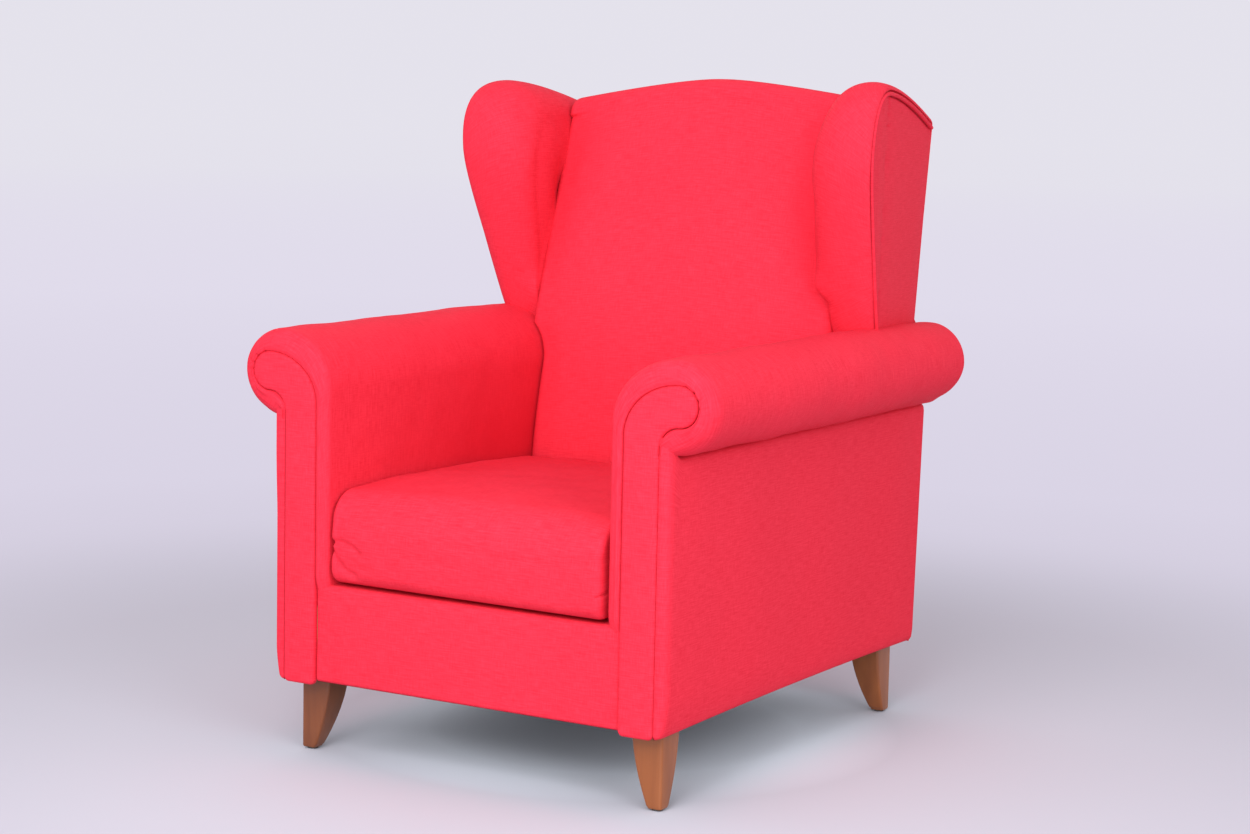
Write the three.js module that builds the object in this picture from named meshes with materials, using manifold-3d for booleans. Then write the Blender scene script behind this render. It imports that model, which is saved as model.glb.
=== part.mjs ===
// A fireside chair: a high winged back, scroll arms, a loose box cushion and four shaped legs.
// Millimetres, +Z up. The chair faces -Y, and left and right are the sitter's, so left is +X.
// While it is built, y is 0 at the front of the arm facings and z is 0 at the floor.

import * as THREE from 'three';
import { mergeVertices } from 'three/addons/utils/BufferGeometryUtils.js';
import Module from 'manifold-3d';

const wasm = await Module();
wasm.setup();

// Fits
const GAP = 0.3; // between two pieces that touch
const OVERRUN = 12; // how far a cutting solid runs past what it cuts
const WELD = 0.001; // corners of an outline that lie closer are one

// Drawing
const ARC_STEPS = 6; // steps in a quarter turn or a curve, doubled on an arc
const BEVEL_STEPS = 2;
const HALF_TURN = Math.PI;
const QUARTER_TURN = Math.PI / 2;
const SIDES = [['left', 1], ['right', -1]];

// The upholstered body
const BODY_HALF_WIDTH = 335;
const SKIRT_Z = 120; // lower edge of the upholstery, and so the height of the legs
const PANEL = 4.7; // board and cover of a flat outside panel
const REAR_FOOT_Y = 848; // rear face of the back at the skirt
const REAR_LEAN_SHARE = 0.044; // how far the rear face leans back for each step up

// Seat
const DECK_TOP_Z = 271.7;
const BACK_DEPTH = 292; // from the rear face to the front of the back at the seat
const SEAT_BACK_Y = REAR_FOOT_Y - BACK_DEPTH;

// Scroll arm
const ARM_WIDTH = 90; // from the body's side to the inner face
const ARM_INNER_X = BODY_HALF_WIDTH - ARM_WIDTH;
const ARM_PAD = 25; // padding over the arm's timber
const SCROLL_OVERHANG = 8; // from the body's side out to the centre line of the scroll
const SCROLL_X = BODY_HALF_WIDTH + SCROLL_OVERHANG;
const SCROLL_Z = 583;
const SCROLL_RADIUS = 68;
const ARM_SPRING_Z = 560; // where the inner face begins to curve over
const SCROLL_TURN = THREE.MathUtils.degToRad(187); // from the top of the scroll round to its seam
const ARM_FRONT_Y = 3; // front of the padding beside the facing
const ARM_REAR_OVERHANG = 12; // behind the foot of the rear face
const ARM_REAR_Y = REAR_FOOT_Y + ARM_REAR_OVERHANG;
const ARM_EDGE = 7; // softened edge at the two ends of an arm
const SCROLL_EDGE = 14; // the same round the scroll, where the padding is fuller
const ARM_EDGE_SHARES = [0, 0.5, 1];
const ARM_END = 15; // padding over the rear end of the scroll
const PANEL_TOP_Z = 513;

// Arm facing
const FACING_MARGIN = 22; // padding that shows between the inner face and the facing
const FACING_INNER_X = ARM_INNER_X + FACING_MARGIN;
const FACING_THICK = 12;
const FACING_EDGE = 3;
const FACING_DROP = 5; // how far the facing hangs below the rest of the upholstery
const FACING_HEAD_OFFSET = 12; // the head's centre is this far outside the scroll's
const FACING_HEAD_X = SCROLL_X + FACING_HEAD_OFFSET;
const FACING_HEAD_Z = 586;
const FACING_HEAD_RADIUS = 30;
const FACING_SHOULDER_Z = 540;
const FACING_OUTER_X = FACING_HEAD_X - FACING_HEAD_RADIUS;

// Inside back
const BACK_TUCK = 30; // how far the back is wider than the seat on each side
const BACK_HALF_WIDTH = ARM_INNER_X + BACK_TUCK;
const BACK_THICK = 95;
const CREST_SIDE_Z = 1000;
const CREST_RISE = 40;
const CREST_RADIUS = 33; // roll along the top of the back
const CREST_ROLL_SHARES = [0.33, 0.67, 1];
const BACK_RAKE = 167; // how far the front leans back from the seat to the height of CREST_SIDE_Z
const CREST_FRONT_Y = SEAT_BACK_Y + BACK_RAKE;
const BACK_CROWN = 18; // how far the middle of the back stands forward of its edges
const BACK_TOP_FALL_SHARE = 0.2; // how far the top falls for each step towards the rear
const BACK_RAKE_SHARE = 1.27; // power of the rake: 1 is a straight slope, and more leans back later
const CREST_PADDING = 43; // from the crest down to the timber and the outside panel at the rear
const BACK_STATION_SHARES = [0, 0.14, 0.28, 0.42, 0.56, 0.7, 0.85, 1];
const CREST_STATION_SHARES = [1, 0.8, 0.6, 0.4, 0.2, 0, -0.2, -0.4, -0.6, -0.8, -1];

// Wing
const WING_FLARE_SHARE = 0.15; // how far the outer face spreads for each step forward
const WING_SPREAD_SHARE = 0.0443; // how far it spreads for each step up
const WING_THICK = 39; // at the rear, at the height of WING_FOOT_Z
const WING_REAR_X = BACK_HALF_WIDTH + WING_THICK;
const WING_INNER_FLARE_SHARE = 0.09;
const WING_SETBACK = 71; // the wing's foot behind the front of the back at the seat
const WING_FOOT_Y = SEAT_BACK_Y + WING_SETBACK;
const WING_FOOT_Z = 650;
const WING_REACH = 92; // the wing's nose in front of its foot
const WING_NOSE_Y = WING_FOOT_Y - WING_REACH;
const WING_NOSE_Z = 925;
const WING_LOBE = 93; // from the nose back to the highest point
const WING_TOP_Y = WING_NOSE_Y + WING_LOBE;
const WING_TOP_Z = 1032;
const WING_TAIL_OVERHANG = 37; // behind the foot of the rear face
const WING_TAIL_Y = REAR_FOOT_Y + WING_TAIL_OVERHANG;
const WING_TAIL_Z = 978;
const WING_BURY = 50; // how far the wing runs down into the arm
const WING_SWEEP_SHARES = [0.46, 0.31, 0.69]; // handles of the curve from the foot to the nose
const WING_TOP_SHARES = [0.37, 0.07]; // handle of the curve from the top to the tail
const WING_ROLL = 28; // depth of the roll round the wing's edge
const WING_ROLL_SHARES = [0, 0.2, 0.4, 0.6, 0.8, 1];
const WING_PROUD = 7; // how far the roll swells out past the outer face
const WING_WEB_SHARE = 0.5;
const WELT_RADIUS = 3.3;
const WELT_INSET = 18; // from the wing's edge to the piping
const WELT_SIDES = 8;
const WING_BOARD = 18; // thickness of the wing's timber
const WING_BOARD_INSET = 36;

// Seat cushion
const CUSHION_CLEARANCE = 3; // to each arm
const CUSHION_HALF_WIDTH = ARM_INNER_X - CUSHION_CLEARANCE;
const CUSHION_FRONT_Y = 0;
const CUSHION_REAR_CLEARANCE = 4; // to the back
const CUSHION_REAR_Y = SEAT_BACK_Y - CUSHION_REAR_CLEARANCE;
const CUSHION_EDGE_Z = 408;
const CUSHION_CROWN_Z = 430;
const CUSHION_CORNER = 26;
const CUSHION_DRAW = 5; // how far the sides pull in between the corners
const CUSHION_NOSE = 40; // roll along the front edge
const CUSHION_COVER = 1.6;
// Levels of the border from the bottom to the top seam, as shares of its height, the corner and the nose.
const CUSHION_LEVEL_SHARES = [
  [0, 0.6, 0.35], [0.02, 0.22, 0.12], [0.1, 0, 0.02], [0.5, -0.04, 0], [0.74, 0, 0.1], [0.9, 0.12, 0.42],
  [0.97, 0.4, 0.72], [1, 1, 1],
];
const CUSHION_CROWN_SHARES = [0.12, 0.35, 0.65, 1];
const CUSHION_SIDE_SHARES = [0.02, 0.17, 0.34, 0.5, 0.66, 0.83, 0.98];
const ZIP_LENGTH = 380;
const ZIP_WIDTH = 16;

// Timber
const TIMBER = 28;
const RAIL_BOTTOM_Z = 124;
const RAIL_TOP_Z = 244;
const SIDE_RAIL_TOP_Z = 234;
const POST_DEPTH = 30;
const BACK_POST_TOP_Z = 940;
const RAKE_STATION_SHARES = [0, 0.12, 0.3, 0.5, 0.75, 1]; // corners of the timber that follows the rake
const BLOCK_SIDE = 92;
const BLOCK_HEIGHT = 60;
const TACK_RAIL_Z = 284;
const TACK_RAIL_HEIGHT = 46;
const LOWER_RAIL_Z = 300;
const LOWER_RAIL_HEIGHT = 50;
const CREST_RAIL_BOTTOM_Z = 900;

// Springs, webs and deck
const SPRINGS = 5;
const SPRING_PITCH_SHARE = 0.2122; // of the seat's width
const SPRING_RADIUS = 1.9;
const SPRING_SIDES = 4;
const SPRING_LOOP = 25; // along the seat
const SPRING_HALF_WIDTH = 23;
const SPRING_CROWN = 6;
const WEBS = 3;
const WEB_WIDTH = 50;
const WEB_THICK = 1.5;
const WEB_FIRST_Z = 480;
const WEB_PITCH_Z = 184;
const DECK_STATION_SHARES = [0, 0.08, 0.16, 0.25, 0.33, 0.42, 0.5, 0.58, 0.67, 0.75, 0.84, 0.92, 1];
const FRONT_BORDER_Y = 8;
const BORDER_ROLL = 8;
const BORDER_ROLL_DEPTH = 14;

// Legs
const LEG_TOP = 52; // square at the top
const LEG_TAPER = 28; // taken off the two inner faces
const LEG_TAPER_POWER_SHARE = 1.8; // how late the taper comes
const LEG_CHAMFER = 3;
const LEG_STATION_SHARES = [0, 0.15, 0.3, 0.45, 0.6, 0.75, 0.88, 1];
const LEG_SIDE_INSET = 16;
const LEG_FRONT_INSET = 43;
const LEG_REAR_INSET = 40;
const BOLT_RADIUS = 4;
const BOLT_LENGTH = 70;
const GLIDE_RADIUS = 8;
const GLIDE_THICK = 3;
const DUST_COVER_THICK = 1.6;

// Finishes
const fabric = new THREE.MeshStandardMaterial({ color: 0xd8202c, roughness: 0.9, metalness: 0 });
const piping = new THREE.MeshStandardMaterial({ color: 0xc81c28, roughness: 0.85, metalness: 0 });
const legWood = new THREE.MeshStandardMaterial({ color: 0x8a5230, roughness: 0.45, metalness: 0 });
const timber = new THREE.MeshStandardMaterial({ color: 0xc9a878, roughness: 0.8, metalness: 0 });
const steel = new THREE.MeshStandardMaterial({ color: 0x8d9094, roughness: 0.4, metalness: 0.9 });
const nylon = new THREE.MeshStandardMaterial({ color: 0x3a3835, roughness: 0.6, metalness: 0 });
const foam = new THREE.MeshStandardMaterial({ color: 0xeadfb8, roughness: 1, metalness: 0 });
const backing = new THREE.MeshStandardMaterial({ color: 0x26262a, roughness: 1, metalness: 0 });

// Solids and cuts

// A closed solid from its corners and triangles. Corners that coincide are joined.
function body(points, faces) {
  const corners = new Map();
  const positions = [];
  const at = points.map((point) => {
    const key = point.map((value) => value.toFixed(4)).join();
    if (!corners.has(key)) {
      corners.set(key, corners.size);
      positions.push(...point);
    }
    return corners.get(key);
  });
  const whole = faces
    .map((face) => face.map((corner) => at[corner]))
    .filter(([a, b, c]) => a !== b && b !== c && c !== a);
  const corner = (index) => new THREE.Vector3().fromArray(positions, 3 * index);
  const volume = whole.reduce((sum, [a, b, c]) => sum + corner(a).dot(corner(b).cross(corner(c))), 0);
  const outward = volume > 0 ? whole : whole.map(([a, b, c]) => [a, c, b]);
  return new wasm.Manifold(new wasm.Mesh({
    numProp: 3,
    vertProperties: new Float32Array(positions),
    triVerts: new Uint32Array(outward.flat()),
  }));
}

function solid(geometry) {
  const bare = geometry.clone();
  bare.deleteAttribute('normal');
  bare.deleteAttribute('uv');
  const merged = mergeVertices(bare);
  const points = [];
  for (let i = 0; i < merged.attributes.position.count; i += 1) {
    points.push(new THREE.Vector3().fromBufferAttribute(merged.attributes.position, i).toArray());
  }
  const faces = [];
  for (let i = 0; i < merged.index.count; i += 3) {
    faces.push([...merged.index.array.slice(i, i + 3)]);
  }
  return body(points, faces);
}

function geometryOf(piece) {
  const mesh = piece.getMesh();
  const geometry = new THREE.BufferGeometry();
  geometry.setAttribute('position', new THREE.BufferAttribute(mesh.vertProperties, 3));
  geometry.setIndex(new THREE.BufferAttribute(mesh.triVerts, 1));
  geometry.computeVertexNormals();
  return geometry;
}

const cut = (piece, ...tools) => tools.reduce((rest, tool) => rest.subtract(tool), piece);

const shapeOf = (points) => new THREE.Shape(points.map(([across, up]) => new THREE.Vector2(across, up)));

// The corners of an outline in order, each once.
function cornersOf(outline) {
  const points = outline.getPoints(ARC_STEPS);
  return points.filter((point, i) => i === 0 || point.distanceTo(points[i - 1]) > WELD);
}

// Where an outline's two axes and its thickness point, for a prism along x, y or z.
const PRISM_AXES = {
  x: [[0, 1, 0], [0, 0, 1], [1, 0, 0]],
  y: [[1, 0, 0], [0, 0, 1], [0, -1, 0]],
  z: [[1, 0, 0], [0, 1, 0], [0, 0, 1]],
};

// An outline carried along an axis from low to high, with its edges softened by bevel.
function prism(axis, outline, low, high, bevel = 0) {
  const geometry = new THREE.ExtrudeGeometry(outline, {
    depth: high - low - 2 * bevel,
    curveSegments: ARC_STEPS,
    bevelEnabled: bevel > 0,
    bevelThickness: bevel,
    bevelSize: bevel,
    bevelOffset: -bevel,
    bevelSegments: BEVEL_STEPS,
  });
  const axes = PRISM_AXES[axis].map((direction) => new THREE.Vector3(...direction));
  const start = axes[2].clone().multiplyScalar(axis === 'y' ? bevel - high : low + bevel);
  geometry.applyMatrix4(new THREE.Matrix4().makeBasis(...axes));
  geometry.translate(...start.toArray());
  return solid(geometry);
}

const rectangle = (left, right, low, high) => shapeOf([
  [left, low], [right, low], [right, high], [left, high],
]);

const block = (x0, x1, y0, y1, z0, z1) => prism('z', rectangle(x0, x1, y0, y1), z0, z1);

const rod = (radius, x, y, z0, z1) => {
  const outline = new THREE.Shape();
  outline.absarc(x, y, radius, 0, 2 * HALF_TURN);
  return prism('z', outline, z0, z1);
};

// A skin over rings of points, filled flat at both ends in the plane of the two given axes.
function loft(rings, firstPlane, lastPlane = firstPlane) {
  const count = rings[0].length;
  const last = (rings.length - 1) * count;
  const faces = [];
  for (let row = 0; row < last; row += count) {
    for (let i = 0; i < count; i += 1) {
      const a = row + i;
      const b = row + (i + 1) % count;
      faces.push([a, b, b + count], [a, b + count, a + count]);
    }
  }
  const fill = (ring, [across, up], start, along) => {
    const flat = ring.map((point) => new THREE.Vector2(point[across], point[up]));
    const keep = (THREE.ShapeUtils.area(flat) > 0) === along;
    for (const [a, b, c] of THREE.ShapeUtils.triangulateShape(flat, [])) {
      faces.push(keep ? [a + start, b + start, c + start] : [a + start, c + start, b + start]);
    }
  };
  fill(rings[0], firstPlane, 0, false);
  fill(rings[rings.length - 1], lastPlane, last, true);
  return body(rings.flat(), faces);
}

// The rings of a round bar along a list of points. Level is the direction that stays across it.
function barRings(points, radius, sides, level) {
  const path = points.map((point) => new THREE.Vector3(...point));
  return path.map((point, i) => {
    const before = path[Math.max(i - 1, 0)];
    const after = path[Math.min(i + 1, path.length - 1)];
    const tangent = after.clone().sub(before).normalize();
    const side = tangent.clone().cross(level).normalize();
    const up = side.clone().cross(tangent);
    return Array.from({ length: sides }, (_, k) => {
      const angle = (2 * HALF_TURN * k) / sides;
      const out = side.clone().multiplyScalar(radius * Math.cos(angle));
      return point.clone().add(out).addScaledVector(up, radius * Math.sin(angle)).toArray();
    });
  });
}

// Faces of the body that several pieces share

const rearFace = (z) => REAR_FOOT_Y + REAR_LEAN_SHARE * (z - SKIRT_Z);

// Front of the inside back at its edges: upright behind the cushion, then raked more and more.
function backFront(z) {
  const height = Math.max(0, z - CUSHION_EDGE_Z) / (CREST_SIDE_Z - CUSHION_EDGE_Z);
  return SEAT_BACK_Y + (CREST_FRONT_Y - SEAT_BACK_Y) * height ** BACK_RAKE_SHARE;
}

// The line that timber and webs follow, this far behind the front of the back: straight between corners.
function raked(depth, low, high) {
  const rise = BACK_POST_TOP_Z - CUSHION_EDGE_Z;
  const corners = RAKE_STATION_SHARES.map((share) => CUSHION_EDGE_Z + rise * share);
  const between = corners.filter((z) => z > low && z < high);
  return [low, ...between, high].map((z) => {
    const next = corners.findIndex((corner) => corner > z);
    if (next < 1) {
      return [backFront(z) + depth, z];
    }
    const [from, to] = [corners[next - 1], corners[next]];
    return [THREE.MathUtils.mapLinear(z, from, to, backFront(from), backFront(to)) + depth, z];
  });
}

// Top of the back: one smooth hump between the wings.
function crest(x) {
  const share = Math.min(1, Math.abs(x) / BACK_HALF_WIDTH);
  return CREST_SIDE_Z + CREST_RISE * (1 + Math.cos(HALF_TURN * share)) / 2;
}

const wingOuter = (y, z) => (
  WING_REAR_X + WING_SPREAD_SHARE * (z - WING_FOOT_Z) + WING_FLARE_SHARE * (rearFace(WING_FOOT_Z) - y)
);

const wingInner = (y, z) => BACK_HALF_WIDTH + GAP + WING_INNER_FLARE_SHARE * Math.max(0, backFront(z) - y);

// Leans a piece drawn at the rear face, and shears one drawn at x = 0 on to the wing's outer face.
const LEAN = new THREE.Matrix4().set(
  1, 0, 0, 0,
  0, 1, REAR_LEAN_SHARE, -REAR_LEAN_SHARE * SKIRT_Z,
  0, 0, 1, 0,
  0, 0, 0, 1,
);
const ON_WING = new THREE.Matrix4().set(
  1, -WING_FLARE_SHARE, WING_SPREAD_SHARE, wingOuter(0, 0),
  0, 1, 0, 0,
  0, 0, 1, 0,
  0, 0, 0, 1,
);

const placed = (piece, matrix) => solid(geometryOf(piece).applyMatrix4(matrix));

const MIRROR = new THREE.Matrix4().makeScale(-1, 1, 1);
const mirrored = (piece) => placed(piece, MIRROR);

const REAR_INNER_Y = REAR_FOOT_Y - PANEL - GAP; // face of the timber under the outside back
const TIMBER_INNER_X = ARM_INNER_X + ARM_PAD + GAP;
const PANEL_INNER_X = BODY_HALF_WIDTH - PANEL;
const RAIL_OUTER_X = PANEL_INNER_X - GAP;
const RAIL_INNER_X = RAIL_OUTER_X - TIMBER;
const POST_FRONT_Y = FACING_THICK + GAP;
const POST_REAR_Y = POST_FRONT_Y + POST_DEPTH;
const BACK_POST_FRONT_Y = SEAT_BACK_Y + BACK_THICK;
const BETWEEN_POSTS = TIMBER_INNER_X - GAP;
const WEB_FACE = BACK_THICK - WEB_THICK - 2 * GAP; // from the front of the inside back to its rear

// Everything behind the timber's rear face.
const rearCut = placed(
  block(-2 * BODY_HALF_WIDTH, 2 * BODY_HALF_WIDTH, REAR_INNER_Y, 2 * REAR_FOOT_Y, 0, 2 * CREST_SIDE_Z),
  LEAN,
);

// Arms

// The section of an arm from the deck, up its inner face, over the scroll and round to the seam.
// The inner face and the scroll can be inset by different amounts.
function armSection(inset, foot, drop, inward, scrollInset = inset) {
  const top = SCROLL_Z + SCROLL_RADIUS - scrollInset;
  const section = new THREE.Shape();
  section.moveTo(ARM_INNER_X + inset, foot);
  section.lineTo(ARM_INNER_X + inset, ARM_SPRING_Z);
  section.absellipse(
    SCROLL_X, ARM_SPRING_Z, SCROLL_X - ARM_INNER_X - inset, top - ARM_SPRING_Z, HALF_TURN, QUARTER_TURN, true,
  );
  section.absarc(
    SCROLL_X, SCROLL_Z, SCROLL_RADIUS - scrollInset, QUARTER_TURN, QUARTER_TURN - SCROLL_TURN, true,
  );
  section.lineTo(section.currentPoint.x, drop);
  section.lineTo(inward, drop);
  section.lineTo(inward, foot);
  return section;
}

const ARM_MIDDLE_X = (FACING_INNER_X + FACING_OUTER_X) / 2;
const SEAM_Z = PANEL_TOP_Z + GAP;

// The whole arm as one form, softened at its two ends.
function armForm() {
  const turns = ARM_EDGE_SHARES.map((share) => QUARTER_TURN * share);
  const ring = (y, short) => cornersOf(
    armSection(ARM_EDGE * short, DECK_TOP_Z + GAP, SEAM_Z, ARM_MIDDLE_X, SCROLL_EDGE * short),
  ).map(({ x, y: z }) => [x, y, z]);
  const front = turns.map((turn) => ring(ARM_FRONT_Y + ARM_EDGE * (1 - Math.cos(turn)), 1 - Math.sin(turn)));
  const rear = turns.map((turn) => ring(ARM_REAR_Y - ARM_EDGE * (1 - Math.cos(turn)), 1 - Math.sin(turn)));
  return loft([...front, ...rear.reverse()], [0, 2]);
}

const armSpace = prism(
  'y',
  armSection(-GAP, SKIRT_Z, SKIRT_Z, ARM_MIDDLE_X),
  -OVERRUN,
  ARM_REAR_Y + GAP,
);

// The scroll-shaped front of an arm: upright inside, over the head, round it and back in at the neck.
function facingOutline(grow) {
  const inner = FACING_INNER_X - grow;
  const head = FACING_HEAD_RADIUS + grow;
  const neckZ = FACING_HEAD_Z - 2 * FACING_HEAD_RADIUS;
  const foot = SKIRT_Z - FACING_DROP - grow;
  const outline = new THREE.Shape();
  outline.moveTo(inner, foot);
  outline.lineTo(inner, FACING_SHOULDER_Z);
  outline.absellipse(
    FACING_HEAD_X, FACING_SHOULDER_Z,
    FACING_HEAD_X - inner, FACING_HEAD_Z + head - FACING_SHOULDER_Z,
    HALF_TURN, QUARTER_TURN, true,
  );
  outline.absarc(FACING_HEAD_X, FACING_HEAD_Z, head, QUARTER_TURN, -QUARTER_TURN, true);
  outline.absarc(FACING_HEAD_X, neckZ, FACING_HEAD_RADIUS - grow, QUARTER_TURN, HALF_TURN, false);
  outline.lineTo(FACING_OUTER_X + grow, foot);
  return outline;
}

const armFacing = () => prism('y', facingOutline(0), 0, FACING_THICK, FACING_EDGE);

function insideArm() {
  const hollow = prism(
    'y',
    armSection(ARM_PAD, DECK_TOP_Z - OVERRUN, SEAM_Z - OVERRUN, ARM_MIDDLE_X + OVERRUN),
    POST_FRONT_Y,
    ARM_REAR_Y - ARM_END,
  );
  const facing = prism('y', facingOutline(GAP), -OVERRUN, POST_FRONT_Y);
  return cut(armForm(), hollow, facing, rearCut, backPost(GAP), backHollow(TIMBER_INNER_X));
}

// The timber that gives the scroll its shape, flat below and notched round the back post.
function armBoard() {
  const scroll = prism(
    'y',
    armSection(ARM_PAD + GAP, SKIRT_Z, SKIRT_Z, ARM_MIDDLE_X),
    POST_FRONT_Y + GAP,
    ARM_REAR_Y - ARM_END - GAP,
  );
  const under = block(0, 2 * BODY_HALF_WIDTH, -OVERRUN, ARM_REAR_Y, 0, ARM_SPRING_Z);
  return cut(scroll, under, backPost(GAP));
}

function outsideArm() {
  const returnX = FACING_OUTER_X + GAP;
  const section = shapeOf([
    [BODY_HALF_WIDTH, ARM_FRONT_Y],
    [BODY_HALF_WIDTH, REAR_FOOT_Y + OVERRUN],
    [PANEL_INNER_X, REAR_FOOT_Y + OVERRUN],
    [PANEL_INNER_X, FACING_THICK],
    [returnX, FACING_THICK],
    [returnX, ARM_FRONT_Y],
  ]);
  return cut(prism('z', section, SKIRT_Z, PANEL_TOP_Z), rearCut);
}

// Back

// A post is a plank, its rear edge upright and its front edge following the rake of the back.
function backPost(grow) {
  const top = BACK_POST_TOP_Z + grow;
  const foot = RAIL_BOTTOM_Z - grow;
  const outline = shapeOf([
    ...raked(BACK_THICK - grow, foot, top),
    [rearFace(top) - PANEL - GAP + grow, top],
    [rearFace(foot) - PANEL - GAP + grow, foot],
  ]);
  return prism('x', outline, TIMBER_INNER_X - grow, RAIL_INNER_X - GAP + grow);
}

// The space behind the padding of the back, where its webs are.
function backHollow(halfWidth) {
  const top = CREST_RAIL_BOTTOM_Z - GAP;
  const rear = REAR_FOOT_Y + BACK_THICK;
  const outline = shapeOf([...raked(WEB_FACE, SKIRT_Z, top), [rear, top], [rear, SKIRT_Z]]);
  return prism('x', outline, -halfWidth, halfWidth);
}

const crestOutline = (half, drop, foot) => shapeOf([
  [-half, foot],
  [half, foot],
  ...CREST_STATION_SHARES.map((share) => [half * share, crest(half * share) - drop]),
]);

const crestRail = (grow) => placed(
  prism(
    'y',
    crestOutline(BETWEEN_POSTS, CREST_PADDING - grow, CREST_RAIL_BOTTOM_Z - grow),
    REAR_INNER_Y - TIMBER - grow,
    REAR_INNER_Y + grow,
  ),
  LEAN,
);

// Section of the inside back at x: up its front, over the roll of the crest and down to the rear.
function backSection(x) {
  const top = crest(x);
  const rollZ = top - CREST_RADIUS;
  const across = 1 - (x / BACK_HALF_WIDTH) ** 2;
  const front = BACK_STATION_SHARES.map((share) => {
    const z = CUSHION_EDGE_Z + (rollZ - CUSHION_EDGE_Z) * share;
    return [backFront(z) - BACK_CROWN * across * Math.sin(HALF_TURN * share), z];
  });
  const rollY = backFront(rollZ) + CREST_RADIUS;
  const roll = CREST_ROLL_SHARES.map((share) => {
    const turn = QUARTER_TURN * share;
    return [rollY - CREST_RADIUS * Math.cos(turn), rollZ + CREST_RADIUS * Math.sin(turn)];
  });
  const rearY = rearFace(top) + OVERRUN;
  const section = [
    [SEAT_BACK_Y, DECK_TOP_Z + GAP],
    ...front,
    ...roll,
    [rearY, top - BACK_TOP_FALL_SHARE * (rearY - rollY)],
    [rearY, DECK_TOP_Z + GAP],
  ];
  return section.map(([y, z]) => [x, y, z]);
}

function insideBack() {
  const form = loft(
    CREST_STATION_SHARES.map((share) => backSection(BACK_HALF_WIDTH * share)),
    [1, 2],
  );
  const behind = backHollow(BACK_HALF_WIDTH + OVERRUN);
  const arms = [armSpace, mirrored(armSpace)];
  const posts = [backPost(GAP), mirrored(backPost(GAP))];
  return cut(form, behind, rearCut, crestRail(GAP), ...arms, ...posts);
}

// The flat panel behind the back, wide below the scrolls and narrower above them.
function outsideBack() {
  const atWing = (z) => [wingOuter(rearFace(z), z), z];
  const half = [
    [BODY_HALF_WIDTH, SKIRT_Z],
    [BODY_HALF_WIDTH, PANEL_TOP_Z],
    atWing(SCROLL_Z + SCROLL_RADIUS),
    atWing(crest(BACK_HALF_WIDTH) - CREST_PADDING),
  ];
  const top = CREST_STATION_SHARES.map((share) => {
    const x = BACK_HALF_WIDTH * share;
    return [x, crest(x) - CREST_PADDING];
  });
  const left = half.map(([x, z]) => [-x, z]).reverse();
  return placed(prism('y', shapeOf([...half, ...top, ...left]), REAR_FOOT_Y - PANEL, REAR_FOOT_Y), LEAN);
}

const lowerBackRail = () => block(
  -BETWEEN_POSTS, BETWEEN_POSTS,
  BACK_POST_FRONT_Y, BACK_POST_FRONT_Y + TIMBER,
  LOWER_RAIL_Z, LOWER_RAIL_Z + LOWER_RAIL_HEIGHT,
);

// A web is stretched across the front edges of the two posts, and follows their rake.
function backWeb(index) {
  const low = WEB_FIRST_Z + WEB_PITCH_Z * index;
  const high = low + WEB_WIDTH;
  const front = raked(WEB_FACE + GAP, low, high);
  const rear = raked(BACK_THICK - GAP, low, high).reverse();
  return prism('x', shapeOf([...front, ...rear]), -BACK_HALF_WIDTH, BACK_HALF_WIDTH);
}

// Wings

// The wing's outline in y and z: up the front edge, round the lobe and along the top to the rear.
// Each point goes inward, square to the edge, by the inset.
function wingEdge(inset) {
  const edge = new THREE.Path();
  edge.moveTo(WING_FOOT_Y + WING_BURY / 2, WING_FOOT_Z - WING_BURY);
  edge.lineTo(WING_FOOT_Y, WING_FOOT_Z);
  const rise = WING_NOSE_Z - WING_FOOT_Z;
  edge.bezierCurveTo(
    WING_FOOT_Y - WING_REACH * WING_SWEEP_SHARES[0], WING_FOOT_Z + rise * WING_SWEEP_SHARES[1],
    WING_NOSE_Y, WING_FOOT_Z + rise * WING_SWEEP_SHARES[2],
    WING_NOSE_Y, WING_NOSE_Z,
  );
  edge.absellipse(
    WING_TOP_Y, WING_NOSE_Z,
    WING_LOBE, WING_TOP_Z - WING_NOSE_Z,
    HALF_TURN, QUARTER_TURN, true,
  );
  edge.quadraticCurveTo(
    THREE.MathUtils.lerp(WING_TOP_Y, WING_TAIL_Y, WING_TOP_SHARES[0]),
    THREE.MathUtils.lerp(WING_TOP_Z, WING_TAIL_Z, WING_TOP_SHARES[1]),
    WING_TAIL_Y, WING_TAIL_Z,
  );
  const points = cornersOf(edge);
  return points.map((point, i) => {
    const after = points[Math.min(i + 1, points.length - 1)];
    const along = after.clone().sub(points[Math.max(i - 1, 0)]).normalize();
    return [point.x + inset * along.y, point.y - inset * along.x];
  });
}

// A plate on the wing's outer face, from outer to inner below it, inset from the wing's edge.
function wingPlate(inset, inner, outer) {
  const edge = wingEdge(inset);
  const foot = WING_FOOT_Z - WING_BURY;
  const rear = WING_TAIL_Y + OVERRUN;
  const outline = shapeOf([...edge, [rear, edge[edge.length - 1][1]], [rear, foot], [edge[0][0], foot]]);
  return placed(prism('x', outline, -inner, -outer), ON_WING);
}

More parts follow.
